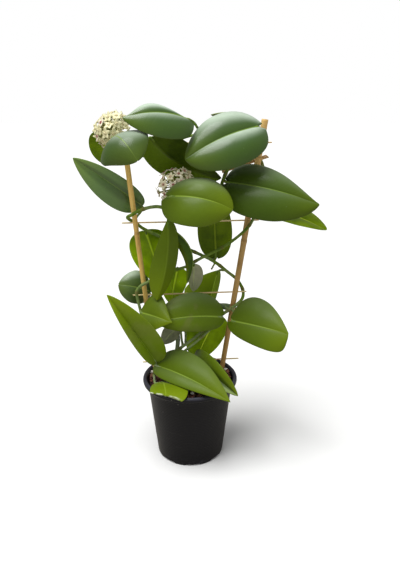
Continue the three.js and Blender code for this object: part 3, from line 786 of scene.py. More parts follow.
# the middle of a vine nearest to a place, and the way from it to that place
def nearestOn(name, place):
    best = min(vinePaths[name], key=lambda point: (point - place).length)
    return best, (place - best).normalized()


stubEnd = Vector(stubShape["to"])
stubFoot = nearestOn(stubShape["vine"], stubEnd)[0]
stubStrand = []
for i in range(25):
    share = i / 24
    bead = 1 + 0.28 * math.cos(share * 2 * math.pi * 4.5)  # the scars of earlier flowers
    thick = stubShape["radius"] * bead * (0.6 if i == 24 else 1)
    stubStrand.append((stubFoot.lerp(stubEnd, share), thick, 0.6 * share))
pieceOf("flowerStub", [tubes("flowerStub", [stubStrand], vineMaterial, 12)], "vine", "flower_stub")
print("vines made")

# "width", "fold", "curl", "lobe", "taper" and "shoulder" are for the left and the right half, seen from the
# face: how wide it is, how steeply it rises from the midrib, how much it turns down again, how far it is
# drawn back beside the stalk, and how blunt it is at the tip and at the base. "arch" bows the midrib and
# "bend" pushes it aside. "via" is a point that the stalk passes. "bloom" is the grey wax on what
# faces up together with a painted sheen of the light from above, "warm" the yellow in the green, "tone" its
# brightness, which paints the light and shade on the leaf (raised where an under side lit from behind faces
# the front, lowered on leaves in deep shade), "dust" a greyish dull skin, "scar" brown patches,
# "hollow" a painted shade on the middle of the blade along its fold, "plain" a fainter midrib and
# "lit" a bright left half. "torn" is where the blade ends at either margin. Most leaves share these values:
leafUsual = {
    "arch": 0.05, "bend": 0, "fold": (10, 10), "curl": (20, 20), "lobe": (3, 3), "taper": (0.78, 0.78),
    "shoulder": (0.42, 0.42), "on": "vine_right", "bloom": 0.1, "warm": 0, "tone": 1, "dust": 0,
    "scar": 0, "hollow": 0, "plain": 0, "lit": 0,
}
leafShape = {
    "leaf_crown_right": {
        "base": (77, 12, 410), "tip": (-3, -18, 377), "face": (-10, -80, 55), "width": (39, 37),
        "arch": 0.1, "fold": (25, 25), "curl": (75, 70), "lobe": (11, 11), "taper": (0.5, 0.7),
        "bloom": 1, "tone": 0.95,
    },
    "leaf_crown_back": {
        "base": (82, 49, 408), "tip": (26, 46, 423), "face": (20, 30, 100), "width": (17, 24),
        "arch": 0.12, "curl": (40, 40), "lobe": (6, 6), "on": "vine_left", "bloom": 0.4, "warm": 0.7,
        "tone": 1.2,
    },
    "leaf_right_big": {
        "base": (46, 8, 349), "tip": (147, -12, 327), "face": (10, -75, 60), "width": (37, 39),
        "arch": 0.06, "fold": (25, 15), "curl": (70, 60), "lobe": (6, 10), "taper": (1.15, 0.62),
        "bloom": 0.2, "warm": 0.1, "tone": 0.62,
    },
    "leaf_right_under": {
        "base": (92, 46, 313), "tip": (171, 40, 287), "face": (0, 60, 80), "width": (24, 24),
        "arch": 0.06, "lobe": (6, 6), "taper": (0.7, 0.7), "on": "vine_left", "bloom": 0.0, "warm": 1,
        "tone": 3.2,
    },
    "leaf_front_middle": {
        "base": (-18, -26, 338), "tip": (48, -34, 325), "face": (-5, -80, 60), "width": (33, 33),
        "arch": 0.15, "fold": (20, 10), "curl": (70, 50), "lobe": (11, 14), "taper": (0.4, 0.6),
        "bloom": 0.2, "warm": 0.35, "tone": 0.95,
    },
    "leaf_crown_left": {
        "base": (1, -6, 418), "tip": (-66, -38, 420), "face": (0, -60, 80), "width": (30, 22),
        "arch": 0.1, "fold": (0, 35), "curl": (55, 90), "lobe": (7, 0), "taper": (0.6, 2),
        "shoulder": (0.42, 2.4), "bloom": 1.1, "tone": 1.1,
    },
    "leaf_left_upper": {
        "base": (-80, -24, 399), "tip": (-50, -62, 379), "face": (-25, -45, 90), "width": (31, 34),
        "arch": 0.25, "fold": (4, -5), "curl": (40, 60), "lobe": (7, 15), "taper": (0.5, 0.5),
        "on": "vine_top", "via": (-74, -17, 385), "bloom": 0.7, "tone": 0.75, "dust": 0.05,
    },
    "leaf_left_back": {
        "base": (-100, 38, 402), "tip": (-102, 44, 367), "face": (10, 90, 20), "width": (20, 20),
        "arch": 0.1, "lobe": (4, 4), "taper": (0.6, 0.6), "on": "vine_top", "via": (-86, 32, 389),
        "warm": 1, "tone": 1.4,
    },
    "leaf_left_big": {
        "base": (-59, 32, 320), "tip": (-134, 20, 376), "face": (-30, -80, 50), "width": (24, 15),
        "arch": 0.06, "fold": (5, 40), "curl": (40, 20), "bloom": 2.0, "tone": 2.5, "dust": 0.05,
        "hollow": 0.4, "plain": 0.5,
    },
    "leaf_left_small": {
        "base": (-52, 36, 207), "tip": (-89, 22, 221), "face": (-30, -80, 50), "width": (22, 26),
        "arch": 0.2, "curl": (60, 60), "lobe": (6, 6), "taper": (0.45, 0.45), "on": "vine_left",
        "via": (-44, 30, 222), "bloom": 0.9, "tone": 1.15, "dust": 0.1,
    },
    "leaf_left_hanging": {
        "base": (-54, 33, 286), "tip": (-36, 50, 208), "face": (0, 100, 15), "width": (28, 28),
        "warm": 1, "tone": 4.0, "plain": 0.45,
    },
    "leaf_front_long": {
        "base": (-24, -4, 306), "tip": (-39, -8, 211), "face": (-10, -90, 30), "width": (19, 21),
        "bend": -6, "fold": (-60, -20), "curl": (0, 0), "taper": (0.6, 0.5), "shoulder": (0.42, 0.85),
        "warm": 0.4, "tone": 1.15, "plain": 0.8,
    },
    "leaf_middle_curled": {
        "base": (-20, 10, 294), "tip": (-3, 6, 228), "face": (-95, -20, 0), "width": (8, 13),
        "arch": -0.22, "fold": (75, 70), "curl": (0, 10), "lobe": (2, 2), "bloom": 0.3, "warm": 0.4,
    },
    "leaf_middle_grey": {
        "base": (5, 38, 242), "tip": (4, 42, 205), "face": (20, 100, 0), "width": (9, 12),
        "curl": (10, 10), "lobe": (2, 2), "taper": (0.7, 0.7), "on": "vine_left", "warm": 0.3,
        "tone": 3.8, "dust": 1,
    },
    "leaf_middle_back": {
        "base": (-16, 32, 238), "tip": (-25, 36, 190), "face": (-20, 100, 10), "width": (17, 17),
        "curl": (10, 10), "taper": (0.7, 0.7), "on": "vine_left", "warm": 1, "tone": 4.6, "scar": 0.5,
        "plain": 0.4,
    },
    "leaf_middle_dark": {
        "base": (33, 42, 253), "tip": (29, 42, 338), "face": (0, 100, 0), "width": (22, 22),
        "lobe": (4, 4), "taper": (0.7, 0.7), "bloom": 0, "warm": 1, "tone": 1.1, "plain": 0.5,
    },
    "leaf_middle_low": {
        "base": (36, 47, 229), "tip": (22, 52, 165), "face": (-30, -90, 30), "width": (16, 42),
        "fold": (50, 0), "curl": (0, 20), "lobe": (4, 4), "taper": (0.78, 0.5), "shoulder": (0.42, 1),
        "bloom": 0.05, "warm": 0.4, "tone": 2.4,
    },
    "leaf_centre_low": {
        "base": (39, 5, 184), "tip": (-41, -8, 183), "face": (10, -70, 70), "width": (20, 34),
        "arch": 0.1, "fold": (0, 25), "curl": (60, 50), "lobe": (6, 6), "taper": (0.6, 0.6),
        "on": "vine_twin", "bloom": 0.15, "warm": 0.3, "tone": 1.25, "scar": 0.4,
    },
    "leaf_left_middle": {
        "base": (-59, -1, 192), "tip": (-20, -30, 191), "face": (-10, -80, 55), "width": (30, 24),
        "arch": 0.08, "fold": (15, 15), "curl": (40, 40), "lobe": (4, 4), "taper": (1.2, 1.1),
        "on": "vine_left", "bloom": 0.05, "warm": 0.45, "tone": 0.85,
    },
    "leaf_left_low": {
        "base": (-43, -12, 132), "tip": (-94, -34, 227), "face": (20, -85, 40), "width": (14, 25),
        "fold": (45, 45), "on": "vine_left", "bloom": 0.15, "warm": 0.4, "tone": 1.9, "scar": 0.2,
    },
    "leaf_front_low": {
        "base": (-41, -10, 124), "tip": (48, -66, 106), "face": (10, -60, 80), "width": (32, 15),
        "arch": 0.08, "fold": (35, 12), "curl": (50, 40), "lobe": (5, 5), "taper": (0.95, 0.95),
        "on": "vine_left", "bloom": 0.06, "warm": 0.35, "tone": 0.95, "scar": 0.15,
    },
    "leaf_front_right": {
        "base": (6, 12, 119), "tip": (58, -50, 105), "face": (-40, -60, 75), "width": (22, 18),
        "arch": 0.16, "fold": (50, 50), "bloom": 0.3, "warm": 0.4, "tone": 1.15, "hollow": 0.6,
    },
    "leaf_rim_torn": {
        "base": (-33, -25, 109.5), "tip": (-25, -72, 106.5), "face": (4, -25, 90), "width": (27, 18),
        "arch": 0.14, "fold": (0, 0), "curl": (8, 8), "lobe": (0, 0), "taper": (0.3, 0.3),
        "torn": (0.95, 0.6), "on": "vine_left", "via": (-42, -22, 106), "bloom": 0, "warm": 0.55,
        "tone": 1.2, "plain": 0.5,
    },
    "leaf_right_low": {
        "base": (53, 2, 180), "tip": (117, -34, 178), "face": (-10, -82, 55), "width": (38, 26),
        "arch": 0.06, "curl": (40, 40), "lobe": (5, 7), "taper": (0.9, 0.14), "via": (56, 12, 186),
        "warm": 0.3,
    },
    "leaf_right_behind": {
        "base": (34, 42, 168), "tip": (6, 34, 107), "face": (-10, 95, 20), "width": (31, 24),
        "lobe": (6, 6), "bloom": 0.05, "warm": 1, "tone": 5,
    },
    "leaf_back_node": {
        "base": (50, 44, 180), "tip": (33, 84, 169), "face": (10, 30, 95), "width": (16, 16),
        "arch": 0.1, "fold": (15, 15), "curl": (30, 30), "lobe": (4, 4), "via": (46, 34, 186),
        "warm": 0.1, "tone": 0.5,
    },
    "leaf_back_grey": {
        "base": (-18, 24, 161), "tip": (-36, 14, 143), "face": (0, 100, 20), "width": (12, 12),
        "curl": (10, 10), "lobe": (2, 2), "warm": 0.3, "tone": 3, "dust": 1,
    },
    "leaf_back_narrow": {
        "base": (-20, 40, 158), "tip": (-21, 38, 119), "face": (100, 20, 20), "width": (14, 14),
        "fold": (15, 15), "curl": (10, 10), "taper": (0.7, 0.7), "via": (-8, 30, 158), "warm": 0.3,
        "tone": 0.6,
    },
    "leaf_crown_under": {
        "base": (-42, 4, 399), "tip": (38, 26, 352), "face": (20, 85, 50), "width": (27, 30),
        "arch": 0.06, "bend": -15, "curl": (30, 20), "lobe": (1, 1), "on": "vine_top",
        "via": (-55, 4, 391), "bloom": 0.0, "warm": 0.7, "tone": 0.5, "plain": 0.8, "lit": 0.8,
    },
    "leaf_crown_small": {
        "base": (22, 5, 403), "tip": (6, -1, 397), "face": (-10, -40, 90), "width": (10, 10),
        "arch": 0.08, "fold": (15, 15), "curl": (40, 40), "taper": (0.7, 0.7), "bloom": 0.9,
    },
}
bladeShape = {
    "middle": 1.7, "edge": 0.9, "rim": 0.94, "least": 0.05, "lobeEnd": 0.6, "ripple": 0.7,
    "rows": 46, "curls": 8,
    "upper": {"turn": 1, "ribSpread": 1.3, "ribLift": -0.5},  # the midrib is a groove above
    "under": {"turn": -1, "ribSpread": 1.6, "ribLift": 0.45},  # and a ridge beneath
    "across": (0, 0.03, 0.07, 0.13, 0.21, 0.3, 0.4, 0.5, 0.6, 0.69, 0.77, 0.84, 0.9, 0.945, 0.975, 0.993, 1),
}
petioleShape = {"radius": 1.6, "sides": 14, "steps": 7}


# the midrib as a function of the share of the way to the tip, with the way the blade faces and its length
def leafFrame(leaf):
    base, tip = Vector(leaf["base"]), Vector(leaf["tip"])
    along = (tip - base).normalized()
    length = (tip - base).length
    face = Vector(leaf["face"])
    face = (face - along * face.dot(along)).normalized()
    right = along.cross(face)

    def midrib(t):
        bow = 4 * t * (1 - t)
        aside = face * (leaf["arch"] * length * bow) + right * (leaf["bend"] * bow)
        return base + along * (length * t) + aside

    return midrib, face, length


def leafMesh(name, leaf, material):
    midrib, face, length = leafFrame(leaf)
    seed = Vector((sum(map(ord, name)) * 0.37, 0, 0))
    half = bladeShape["across"]
    spread = [-u for u in reversed(half[1:])] + list(half)
    count, rows, curls = len(spread), bladeShape["rows"], bladeShape["curls"]

    def way(t):
        return (midrib(t + 0.005) - midrib(t - 0.005)).normalized()

    def reachOf(t, side):
        taper, shoulder = leaf["taper"][side], leaf["shoulder"][side]
        widest = shoulder / (shoulder + taper)
        least = bladeShape["least"] * min(1, 40 * t, 40 * (1 - t))
        return leaf["width"][side] * max(least, (t / widest) ** shoulder * ((1 - t) / (1 - widest)) ** taper)

    def lobeShare(t):  # the lobes beside the stalk are drawn back, most at the base
        return max(0, 1 - (t / bladeShape["lobeEnd"]) ** 2) ** 2

    def ending(u):  # where the blade ends: its tip, or a ragged line across it
        if "torn" not in leaf:
            return 1
        left, right = leaf["torn"]
        return between(-1, 1, u) * (right - left) + left + 0.035 * noise(Vector((u * 7, 0, 3)))

    middle, sideways = [], []
    bends = {}
    for u in spread:
        side = 0 if u < 0 else 1
        fold, curl = leaf["fold"][side], leaf["curl"][side]
        angles = [math.radians(fold - curl * abs(u) * (i + 0.5) / curls) for i in range(curls)]
        bends[u] = (sum(map(math.cos, angles)) / curls, sum(map(math.sin, angles)) / curls)
    steps = [(1 - math.cos(math.pi * (i + 1) / (rows + 1))) / 2 for i in range(rows)]
    for step in steps:
        line, reaches = [], []
        for u in spread:
            t = step * ending(u)
            along = way(t)
            up = (face - along * face.dot(along)).normalized()
            right = along.cross(up)
            side, share = (0 if u < 0 else 1), abs(u)
            reach = reachOf(t, side) * share
            back = leaf["lobe"][side] * share**1.6 * lobeShare(t)
            out, rise = bends[u]
            wave = noise(Vector((t * 3.1, u * 1.3, 0)) + seed) * min(1, 6 * t * (1 - t) * 2)
            ripple = bladeShape["ripple"] * share**2 * wave
            sideward = right * math.copysign(out * reach, u)
            line.append(midrib(t) + sideward + up * (rise * reach + ripple) - along * back)
            reaches.append(math.copysign(reach, u))
        middle.append(line)
        sideways.append(reaches)
    first, last = midrib(0.0005), midrib(0.9995 * ending(0))

    points, notes, faces = [], [], []

    def put(place, t, u, side, upper, facing):
        points.append(place * mm)
        worn = between(0.965, 1, t / ending(u)) if "torn" in leaf else 0
        notes.append((t, u, side, upper, max(0.0, facing.z), t * length, worn))
        return len(points) - 1

    grid = []
    for i, step in enumerate(steps):
        normals = []
        for j in range(count):
            inner = min(max(j, 1), count - 2)
            before = middle[i - 1][inner] if i else first
            after = middle[i + 1][inner] if i + 1 < rows else last
            normal = (middle[i][inner + 1] - middle[i][inner - 1]).cross(after - before)
            normals.append(normal.normalized() if normal.length > 1e-9 else face)
        ring = []
        for skin, places in (("upper", range(count)), ("under", range(count - 2, 0, -1))):
            look = bladeShape[skin]
            for j in places:
                u, side, facing = spread[j], sideways[i][j], normals[j] * look["turn"]
                t = step * ending(u)
                thick = (bladeShape["middle"] + (bladeShape["edge"] - bladeShape["middle"]) * u * u) / 2
                past = max(0, (abs(u) - bladeShape["rim"]) / (1 - bladeShape["rim"]))
                thick *= math.sqrt(max(0, 1 - past**2))
                rib = hump(side, look["ribSpread"]) * (1 - t) * min(1, 5 * t, 5 * (1 - t))
                place = middle[i][j] + facing * (thick + look["ribLift"] * rib)
                ring.append(put(place, t, u, side, int(skin == "upper"), facing))
        grid.append(ring)
    ends = [put(first, 0, 0, 0, 1, face), put(last, 1, 0, 0, 1, face)]
    around = len(grid[0])
    for j in range(around):
        k = (j + 1) % around
        faces.append((ends[0], grid[0][k], grid[0][j]))
        faces.append((ends[1], grid[-1][j], grid[-1][k]))
        for i in range(rows - 1):
            faces.append((grid[i][j], grid[i][k], grid[i + 1][k], grid[i + 1][j]))
    mesh = emptyMesh(name, points, (), faces)
    for i, label in enumerate(("along", "across", "side", "upper", "sky", "reach", "worn")):
        note(mesh, label, [n[i] for n in notes])
    shell = bmesh.new()
    shell.from_mesh(mesh)
    bmesh.ops.recalc_face_normals(shell, faces=shell.faces)
    shell.to_mesh(mesh)
    shell.free()
    mesh.shade_smooth()
    mesh.materials.append(material)
    return mesh


# a stalk from inside what it bears to the middle of a vine, by way of a point where one is given
def stalkStrand(inside, start, backward, vine, via, radius, steps):
    seat, outward = nearestOn(vine, Vector(via) if via else start)
    reach = (start - seat).length * 0.4
    if via:
        bow = [start, Vector(via), seat + outward * 5, seat]
    else:
        corners = [start, start + backward * reach, seat + outward * reach, seat]
        bow = []
        for i in range(5):
            s = i / 4
            weights = ((1 - s) ** 3, 3 * s * (1 - s) ** 2, 3 * s * s * (1 - s), s**3)
            bow.append(sum((corner * w for corner, w in zip(corners, weights)), Vector()))
    path = smoothPath([inside] + bow, steps)
    strand = []
    for i, place in enumerate(path):
        share = i / (len(path) - 1)
        foot, neck = hump((place - seat).length, 4.5), hump((place - start).length, 4)
        thick = radius * (0.92 + 0.3 * foot + 0.12 * neck + 0.05 * noise(place * 0.3))
        strand.append((place, thick * (0.35 + 0.65 * between(0, 0.16, share)), 0.65 * foot))
    return strand


def leafFinish():
    f = Finish("leafSkin")
    t, u, side = f.attribute("along"), f.attribute("across"), f.attribute("side")
    upper, sky, reach = f.attribute("upper"), f.attribute("sky"), f.attribute("reach")
    bloom, yellow, dust = f.attribute("bloom"), f.attribute("warm"), f.attribute("dust")
    tone, topTone = f.attribute("tone"), f.attribute("topTone")
    warm = (yellow + t.ramp(0.45, 1.0) * 0.25).clamped()
    edge = u.size()
    clouds = f.grain(26, 2)
    mottle = f.grain(120, 4)
    fine = f.grain(800, 3)
    ribWidth = 1.5 - 1.15 * t
    rib = (side.size() / ribWidth).ramp(1.1, 0.35) * (0.2 + 0.8 * t.ramp(0.98, 0.6))
    rib = rib * (1 - f.attribute("plain"))
    # painted shade in the groove along each side of the midrib
    ribGrooveShade = (side.size() - ribWidth * 1.6).size().ramp(1.6, 0.2)
    # side veins leave the midrib at a slant every nine millimetres or so and fade towards the margin
    wave = ((reach - side.size() * 0.85 + 5.0 * clouds) * (2 * math.pi / 9.5)).maths("COSINE")
    veins = wave.ramp(0.7, 1.0) * edge.ramp(0.85, 0.15) * side.size().ramp(1.0, 4.0)
    margin = edge.ramp(0.97, 0.998)
    deep = f.blend(warm, (20, 54, 4), (64, 88, 0))
    fresh = f.blend(warm, (40, 88, 8), (114, 142, 0))
    colour = f.blend((clouds * 0.8 + mottle * 0.2).ramp(0.3, 0.7), deep, fresh)
    colour = f.blend(veins * 0.06, colour, (112, 140, 50))
    colour = f.blend(ribGrooveShade * 0.25, colour, deep)
    sunny = f.blend(warm, (70, 98, 14), (132, 150, 0))
    colour = f.blend(upper * 0.85, colour, sunny)
    # painted sheen of the light from above over the grey wax: up-facing parts turn nearly white, more towards
    # the base
    waxAndSheen = bloom * (0.22 + 0.78 * sky.ramp(0.35, 0.95)) * (0.7 + 0.3 * clouds)
    waxAndSheen = waxAndSheen * (1 - 0.3 * mottle) * t.ramp(1.6, 0.6)
    sheen = f.blend(sky.ramp(0.55, 0.92), (84, 110, 82), (220, 238, 218))
    colour = f.blend(waxAndSheen.clamped(), colour, sheen)
    colour = f.blend(rib * 0.75, colour, f.blend(warm, (140, 172, 72), (170, 194, 52)))
    colour = f.blend(margin * 0.25, colour, (120, 138, 60))
    colour = f.blend(dust * 0.8, colour, f.blend(mottle, (104, 106, 88), (150, 148, 130)))
    flecks = f.cells(210).ramp(0.11, 0.05) * f.grain(60).ramp(0.56, 0.64)
    colour = f.blend(flecks * 0.35, colour, (150, 168, 130))
    patches = f.grain(22, 4, distortion=0.5).ramp(0.5, 0.62) * (0.5 + 0.5 * mottle)
    brown = f.blend(mottle, (104, 96, 52), (142, 138, 96))
    colour = f.blend(patches * f.attribute("scar"), colour, brown)
    # tone and topTone paint light and shade as a brightness for each leaf, one for its under side and one for
    # its upper side
    value = 0.4 + 0.6 * (tone + upper * (topTone - tone))
    colour = f.add("HueSaturation", {}, {"Color": colour, "Value": value}).read("Color")
    # painted shade darkening the middle of the blade along its fold
    colour = f.blend(f.attribute("hollow") * edge.ramp(0.55, 0.25), colour, (26, 44, 8))
    colour = f.blend(f.attribute("lit") * side.ramp(-0.5, -2.5), colour, (104, 134, 12))
    colour = f.blend(f.attribute("worn") * f.grain(70, 2).ramp(0.42, 0.52), colour, (226, 232, 206))
    rough = 0.36 - 0.08 * bloom + 0.08 * mottle + 0.06 * waxAndSheen + 0.12 * upper + 0.25 * dust
    height = mottle * 0.25 + fine * 0.06 - veins * 0.06 + clouds * 0.9 + rib * 0.2
    coat = {"Coat Weight": 0.04 + 0.4 * bloom, "Coat Roughness": 0.22, "Specular IOR Level": 0.14}
    return f.shade(colour, rough, f.relief(height, 0.0009), coat)


# the look values of a leaf go on every point of its mesh, so one finish serves all leaves
def markLeaf(mesh, leaf):
    for label in ("bloom", "warm", "tone", "dust", "scar", "hollow", "plain", "lit"):
        note(mesh, label, [float(leaf[label])] * len(mesh.vertices))
    # the tone of a leaf that faces away paints light on its shaded under side; its upper side goes no further
    # than 1
    topTone = min(leaf["tone"], 1.0) if leaf["face"][1] > 0 else leaf["tone"]
    note(mesh, "topTone", [float(topTone)] * len(mesh.vertices))


leafMaterial = leafFinish()
for name, row in leafShape.items():
    leaf = leafUsual | row
    midrib = leafFrame(leaf)[0]
    backward = (midrib(0.005) - midrib(0.015)).normalized()
    radius, steps = petioleShape["radius"], petioleShape["steps"]
    strand = stalkStrand(midrib(0.09), midrib(0), backward, leaf["on"], leaf.get("via"), radius, steps)
    blade = leafMesh(name, leaf, leafMaterial)
    markLeaf(blade, leaf)
    stalk = tubes(name + "Stalk", [strand], vineMaterial, petioleShape["sides"])
    pieceOf(camel(name), [blade, stalk], "leaf", name)
print("leaves made")

# the two umbels, and the star that both repeat
umbelShape = {
    "umbel_left": {
        "centre": (-85, 8, 406), "radius": 20, "away": (-60, -30, 60), "florets": 42, "on": "vine_top",
        "blush": 0.05, "spots": 0.6,
    },
    "umbel_middle": {
        "centre": (-14, 14, 342), "radius": 23, "away": (-80, -30, 40), "florets": 38, "on": "vine_right",
        "blush": 0.55, "spots": 0.4,
    },
}
floretShape = {
    "radius": 7.2, "waist": 4.0, "cup": 1.2, "dip": 0.35, "thickness": 0.9, "sides": 40,
    "rings": (0.0, 0.3, 0.6, 0.85, 1.0), "crown": 2.2, "crownSides": 20,
    "crownRings": ((1.0, 0.5), (0.95, 0.9), (0.6, 1.5), (0.25, 1.3), (0.0, 1.1)),  # share of reach, height
    "knob": 3.4, "knobAt": (-3.4, -2.8, -1.5, 0, 1.5, 2.8, 3.4), "stalk": 1.3,
    "covered": 1.62, "sunk": (0.2, 3.4), "lean": 0.42, "sizes": (0.84, 1.04), "blushes": (0.4, 1.2),
    "spotted": 0.18, "bow": 1.2,
}


# one waxy five-pointed star with a raised crown, looking up; "heart" runs from 0 at its middle to 1 at a tip
def floretMesh():
    radius, waist = floretShape["radius"], floretShape["waist"]
    body = bmesh.new()
    hearts = []
    for level in (0.5, -0.5):
        rows = []
        for share in floretShape["rings"]:
            row = []
            for a in turnsOf(floretShape["sides"]):
                point = abs(((a * 5 / (2 * math.pi)) % 1) * 2 - 1)  # 1 at a petal's tip and 0 in a gap
                r = (waist + (radius - waist) * point**1.1) * share
                lift = floretShape["cup"] * (r / radius) ** 2 - floretShape["dip"] * (1 - point) * share**3
                thick = floretShape["thickness"] * math.sqrt(max(0, 1 - share**4)) * level
                row.append(body.verts.new((r * math.cos(a) * mm, r * math.sin(a) * mm, (lift + thick) * mm)))
                hearts.append(r / radius if level > 0 else 1.0)
            rows.append(row if level > 0 else row[::-1])
        joinRings(body, rows)
    crownRows = []
    for share, lift in floretShape["crownRings"]:
        row = []
        for a in turnsOf(floretShape["crownSides"]):
            r = floretShape["crown"] * share * (0.68 + 0.32 * math.cos(5 * a + math.pi))
            row.append(body.verts.new((r * math.cos(a) * mm, r * math.sin(a) * mm, lift * mm)))
            hearts.append(-0.2)
        crownRows.append(row)
    joinRings(body, crownRows)
    mesh = meshOf("floret", body)
    note(mesh, "heart", hearts)
    body = bmesh.new()
    body.from_mesh(mesh)
    bmesh.ops.remove_doubles(body, verts=body.verts, dist=1e-6)
    bmesh.ops.recalc_face_normals(body, faces=body.faces)
    body.to_mesh(mesh)
    body.free()
    mesh.shade_smooth()
    return mesh


floretWorks = Workshop("floretBall", {"Floret": ("Object", None), "Material": ("Material", None)})
floretGiven = floretWorks.given
aimTo = {"Vector": floretWorks.named("aim", "FLOAT_VECTOR")}
aimed = floretWorks.add("FunctionNodeAlignRotationToVector", {"axis": "Z"}, aimTo)["Rotation"]
spinBy = {"Axis": (0.0, 0.0, 1.0), "Angle": floretWorks.named("spin")}
spun = floretWorks.add("FunctionNodeAxisAngleToRotation", {}, spinBy)["Rotation"]
turnBy = {"Rotation": aimed, "Rotate By": spun}
turned = floretWorks.add("FunctionNodeRotateRotation", {"rotation_space": "LOCAL"}, turnBy)["Rotation"]
floretShown = floretWorks.add("GeometryNodeObjectInfo", {}, {"Object": floretGiven["Floret"]})["Geometry"]
floretLay = {
    "Points": floretGiven["Geometry"], "Instance": floretShown, "Rotation": turned,
    "Scale": floretWorks.named("grow"),
}
placed = floretWorks.add("GeometryNodeInstanceOnPoints", {}, floretLay)["Instances"]
floretWorks.close(floretWorks.add("GeometryNodeSetShadeSmooth", {}, {"Geometry": placed})["Geometry"])


def floretFinish():
    f = Finish("waxyPetals")
    heart, blush = f.attribute("heart"), f.attribute("blush")
    mottle = f.grain(400, 3)
    cream = f.blend(mottle, (238, 232, 172), (252, 248, 206))
    pink = f.blend(mottle, (255, 240, 216), (255, 252, 240))
    colour = f.blend(blush, cream, pink)
    colour = f.blend(heart.ramp(0.5, 0.15) * (0.06 + 0.6 * blush), colour, (204, 112, 104))
    colour = f.blend(heart.ramp(-0.05, -0.15) * (1.4 * blush).clamped(), colour, (150, 28, 46))
    return f.shade(colour, 0.45 + 0.15 * mottle, f.relief(mottle, 0.0003), {"Coat Weight": 0.2})


def floretStalkFinish():
    f = Finish("floretStalks")
    mottle = f.grain(260, 3)
    colour = f.blend(mottle, (138, 150, 84), (186, 186, 124))
    return f.shade(colour, 0.55 + 0.1 * mottle, f.relief(mottle, 0.0003))


petalMaterial, floretStalkMaterial = floretFinish(), floretStalkFinish()
floretObject = objectOf("floret", floretMesh())
for name, umbel in umbelShape.items():
    centre, away = Vector(umbel["centre"]), Vector(umbel["away"]).normalized()
    aim = Vector((0, 0, 1)).rotation_difference(away)
    lean, bowed = floretShape["lean"], floretShape["bow"]
    spots, aims, spins, sizes, blushes, strands = [], [], [], [], [], []
    dice = random.Random(len(name))
    for i in range(umbel["florets"]):
        z = 1 - floretShape["covered"] * (i + 0.5) / umbel["florets"]
        r, a = math.sqrt(1 - z * z), math.pi * (3 - math.sqrt(5)) * i  # the golden angle spreads them evenly
        direction = aim @ Vector((r * math.cos(a), r * math.sin(a), z))
        at = centre + direction * (umbel["radius"] - dice.uniform(*floretShape["sunk"]))
        spots.append(at * mm)
        aims.append((direction + Vector([dice.uniform(-lean, lean) for _ in range(3)])).normalized())
        spins.append(float(i))
        sizes.append(dice.uniform(*floretShape["sizes"]))
        blush = umbel["blush"] * dice.uniform(*floretShape["blushes"])
        blushes.append(blush + umbel["spots"] * (1 if dice.random() < floretShape["spotted"] else 0))
        bow = direction.cross(Vector((0, 0, 1))).normalized() * dice.uniform(-bowed, bowed)
        lower, higher = centre.lerp(at, 0.35) + bow, centre.lerp(at, 0.7) + bow
        strands.append([(centre, 0.8, 0.4), (lower, 0.6, 0.2), (higher, 0.6, 0.1), (at, 0.85, 0)])
    seeds = emptyMesh(name, spots)
    note(seeds, "aim", aims, "FLOAT_VECTOR")
    for label, values in (("spin", spins), ("grow", sizes), ("blush", blushes)):
        note(seeds, label, values)
    stars = make(name, seeds, floretWorks, {"Floret": floretObject, "Material": petalMaterial})
    knob = []
    for s in floretShape["knobAt"]:
        thick = floretShape["knob"] * math.sqrt(max(0.02, 1 - (s / floretShape["knob"]) ** 2))
        knob.append((centre + away * s, thick, 0.5))
    stalk = stalkStrand(centre, centre - away * 4, -away, umbel["on"], None, floretShape["stalk"], 7)
    fine = tubes(name + "Stalks", strands + [knob, stalk], floretStalkMaterial, 8)
    pieceOf(camel(name), [stars, fine], "petals", name)
bpy.data.objects.remove(floretObject)
print("umbels made")

# the floor, the lights and the air
stageShape = {"floorSize": 60.0, "sunPower": 2.75, "sunSpread": 38, "sunTilt": (8, -12), "air": 0.34}
lampShape = {
    "keyLight": {"power": 3.0, "size": (0.9, 0.7), "place": (-0.5, -0.75, 1.35), "towards": (0, 0, 0.3)},
    "fillLight": {"power": 1.0, "size": (1.2, 1.2), "place": (1.4, -0.8, 0.7), "towards": (0, 0, 0.25)},
}


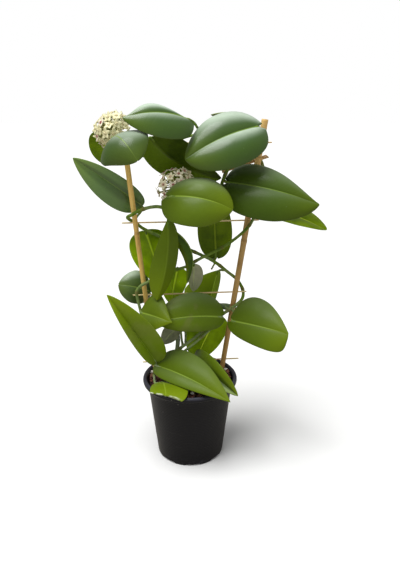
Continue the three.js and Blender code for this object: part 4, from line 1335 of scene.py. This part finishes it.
def floorFinish():
    f = Finish("paleFloor")
    colour = f.blend(f.grain(3, 2), (246, 246, 245), (250, 250, 249))
    shown = f.add("BsdfDiffuse", {}, {"Color": colour}).read("BSDF")
    # what it throws back on the plant
    lent = f.add("BsdfDiffuse", {}, {"Color": paint(170, 166, 158)}).read("BSDF")
    direct = f.add("LightPath").read("Is Camera Ray")
    mixed = f.add("MixShader", {}, {0: direct, 1: lent, 2: shown}).read(0)
    f.add("OutputMaterial", {}, {"Surface": mixed})
    return f.material


half = stageShape["floorSize"] / 2
floorCorners = [(-half, -half, 0), (half, -half, 0), (half, half, 0), (-half, half, 0)]
floorMesh = emptyMesh("floor", floorCorners, (), [(0, 1, 2, 3)])
floorMesh.materials.append(floorFinish())
floorObject = objectOf("floor", floorMesh)
for name, row in lampShape.items():
    data = bpy.data.lights.new(name, "AREA")
    data.energy = row["power"]
    data.shape = "RECTANGLE"
    data.size, data.size_y = row["size"]
    lamp = objectOf(name, data)
    lamp.location = row["place"]
    lamp.rotation_euler = (Vector(row["towards"]) - Vector(row["place"])).to_track_quat("-Z", "Y").to_euler()
    lamp.visible_glossy = False
skyData = bpy.data.lights.new("skyLight", "SUN")
skyData.energy = stageShape["sunPower"]
skyData.angle = math.radians(stageShape["sunSpread"])
skyObject = objectOf("skyLight", skyData)
skyObject.rotation_euler = tuple(map(math.radians, stageShape["sunTilt"])) + (0,)
world = bpy.data.worlds.new("air")
world.use_nodes = True
air = world.node_tree
background = air.nodes["Background"]
background.inputs["Color"].default_value = (1, 1, 1, 1)
background.inputs["Strength"].default_value = stageShape["air"]
seen = air.nodes.new("ShaderNodeBackground")  # the plain pale backdrop behind everything
seen.inputs["Color"].default_value = (1, 1, 1, 1)
direct = air.nodes.new("ShaderNodeLightPath")
either = air.nodes.new("ShaderNodeMixShader")
air.links.new(direct.outputs["Is Camera Ray"], either.inputs[0])
air.links.new(background.outputs[0], either.inputs[1])
air.links.new(seen.outputs[0], either.inputs[2])
air.links.new(either.outputs[0], air.nodes["World Output"].inputs["Surface"])
bpy.context.scene.world = world
bpy.context.scene.view_settings.view_transform = "Standard"
print("stage lit")
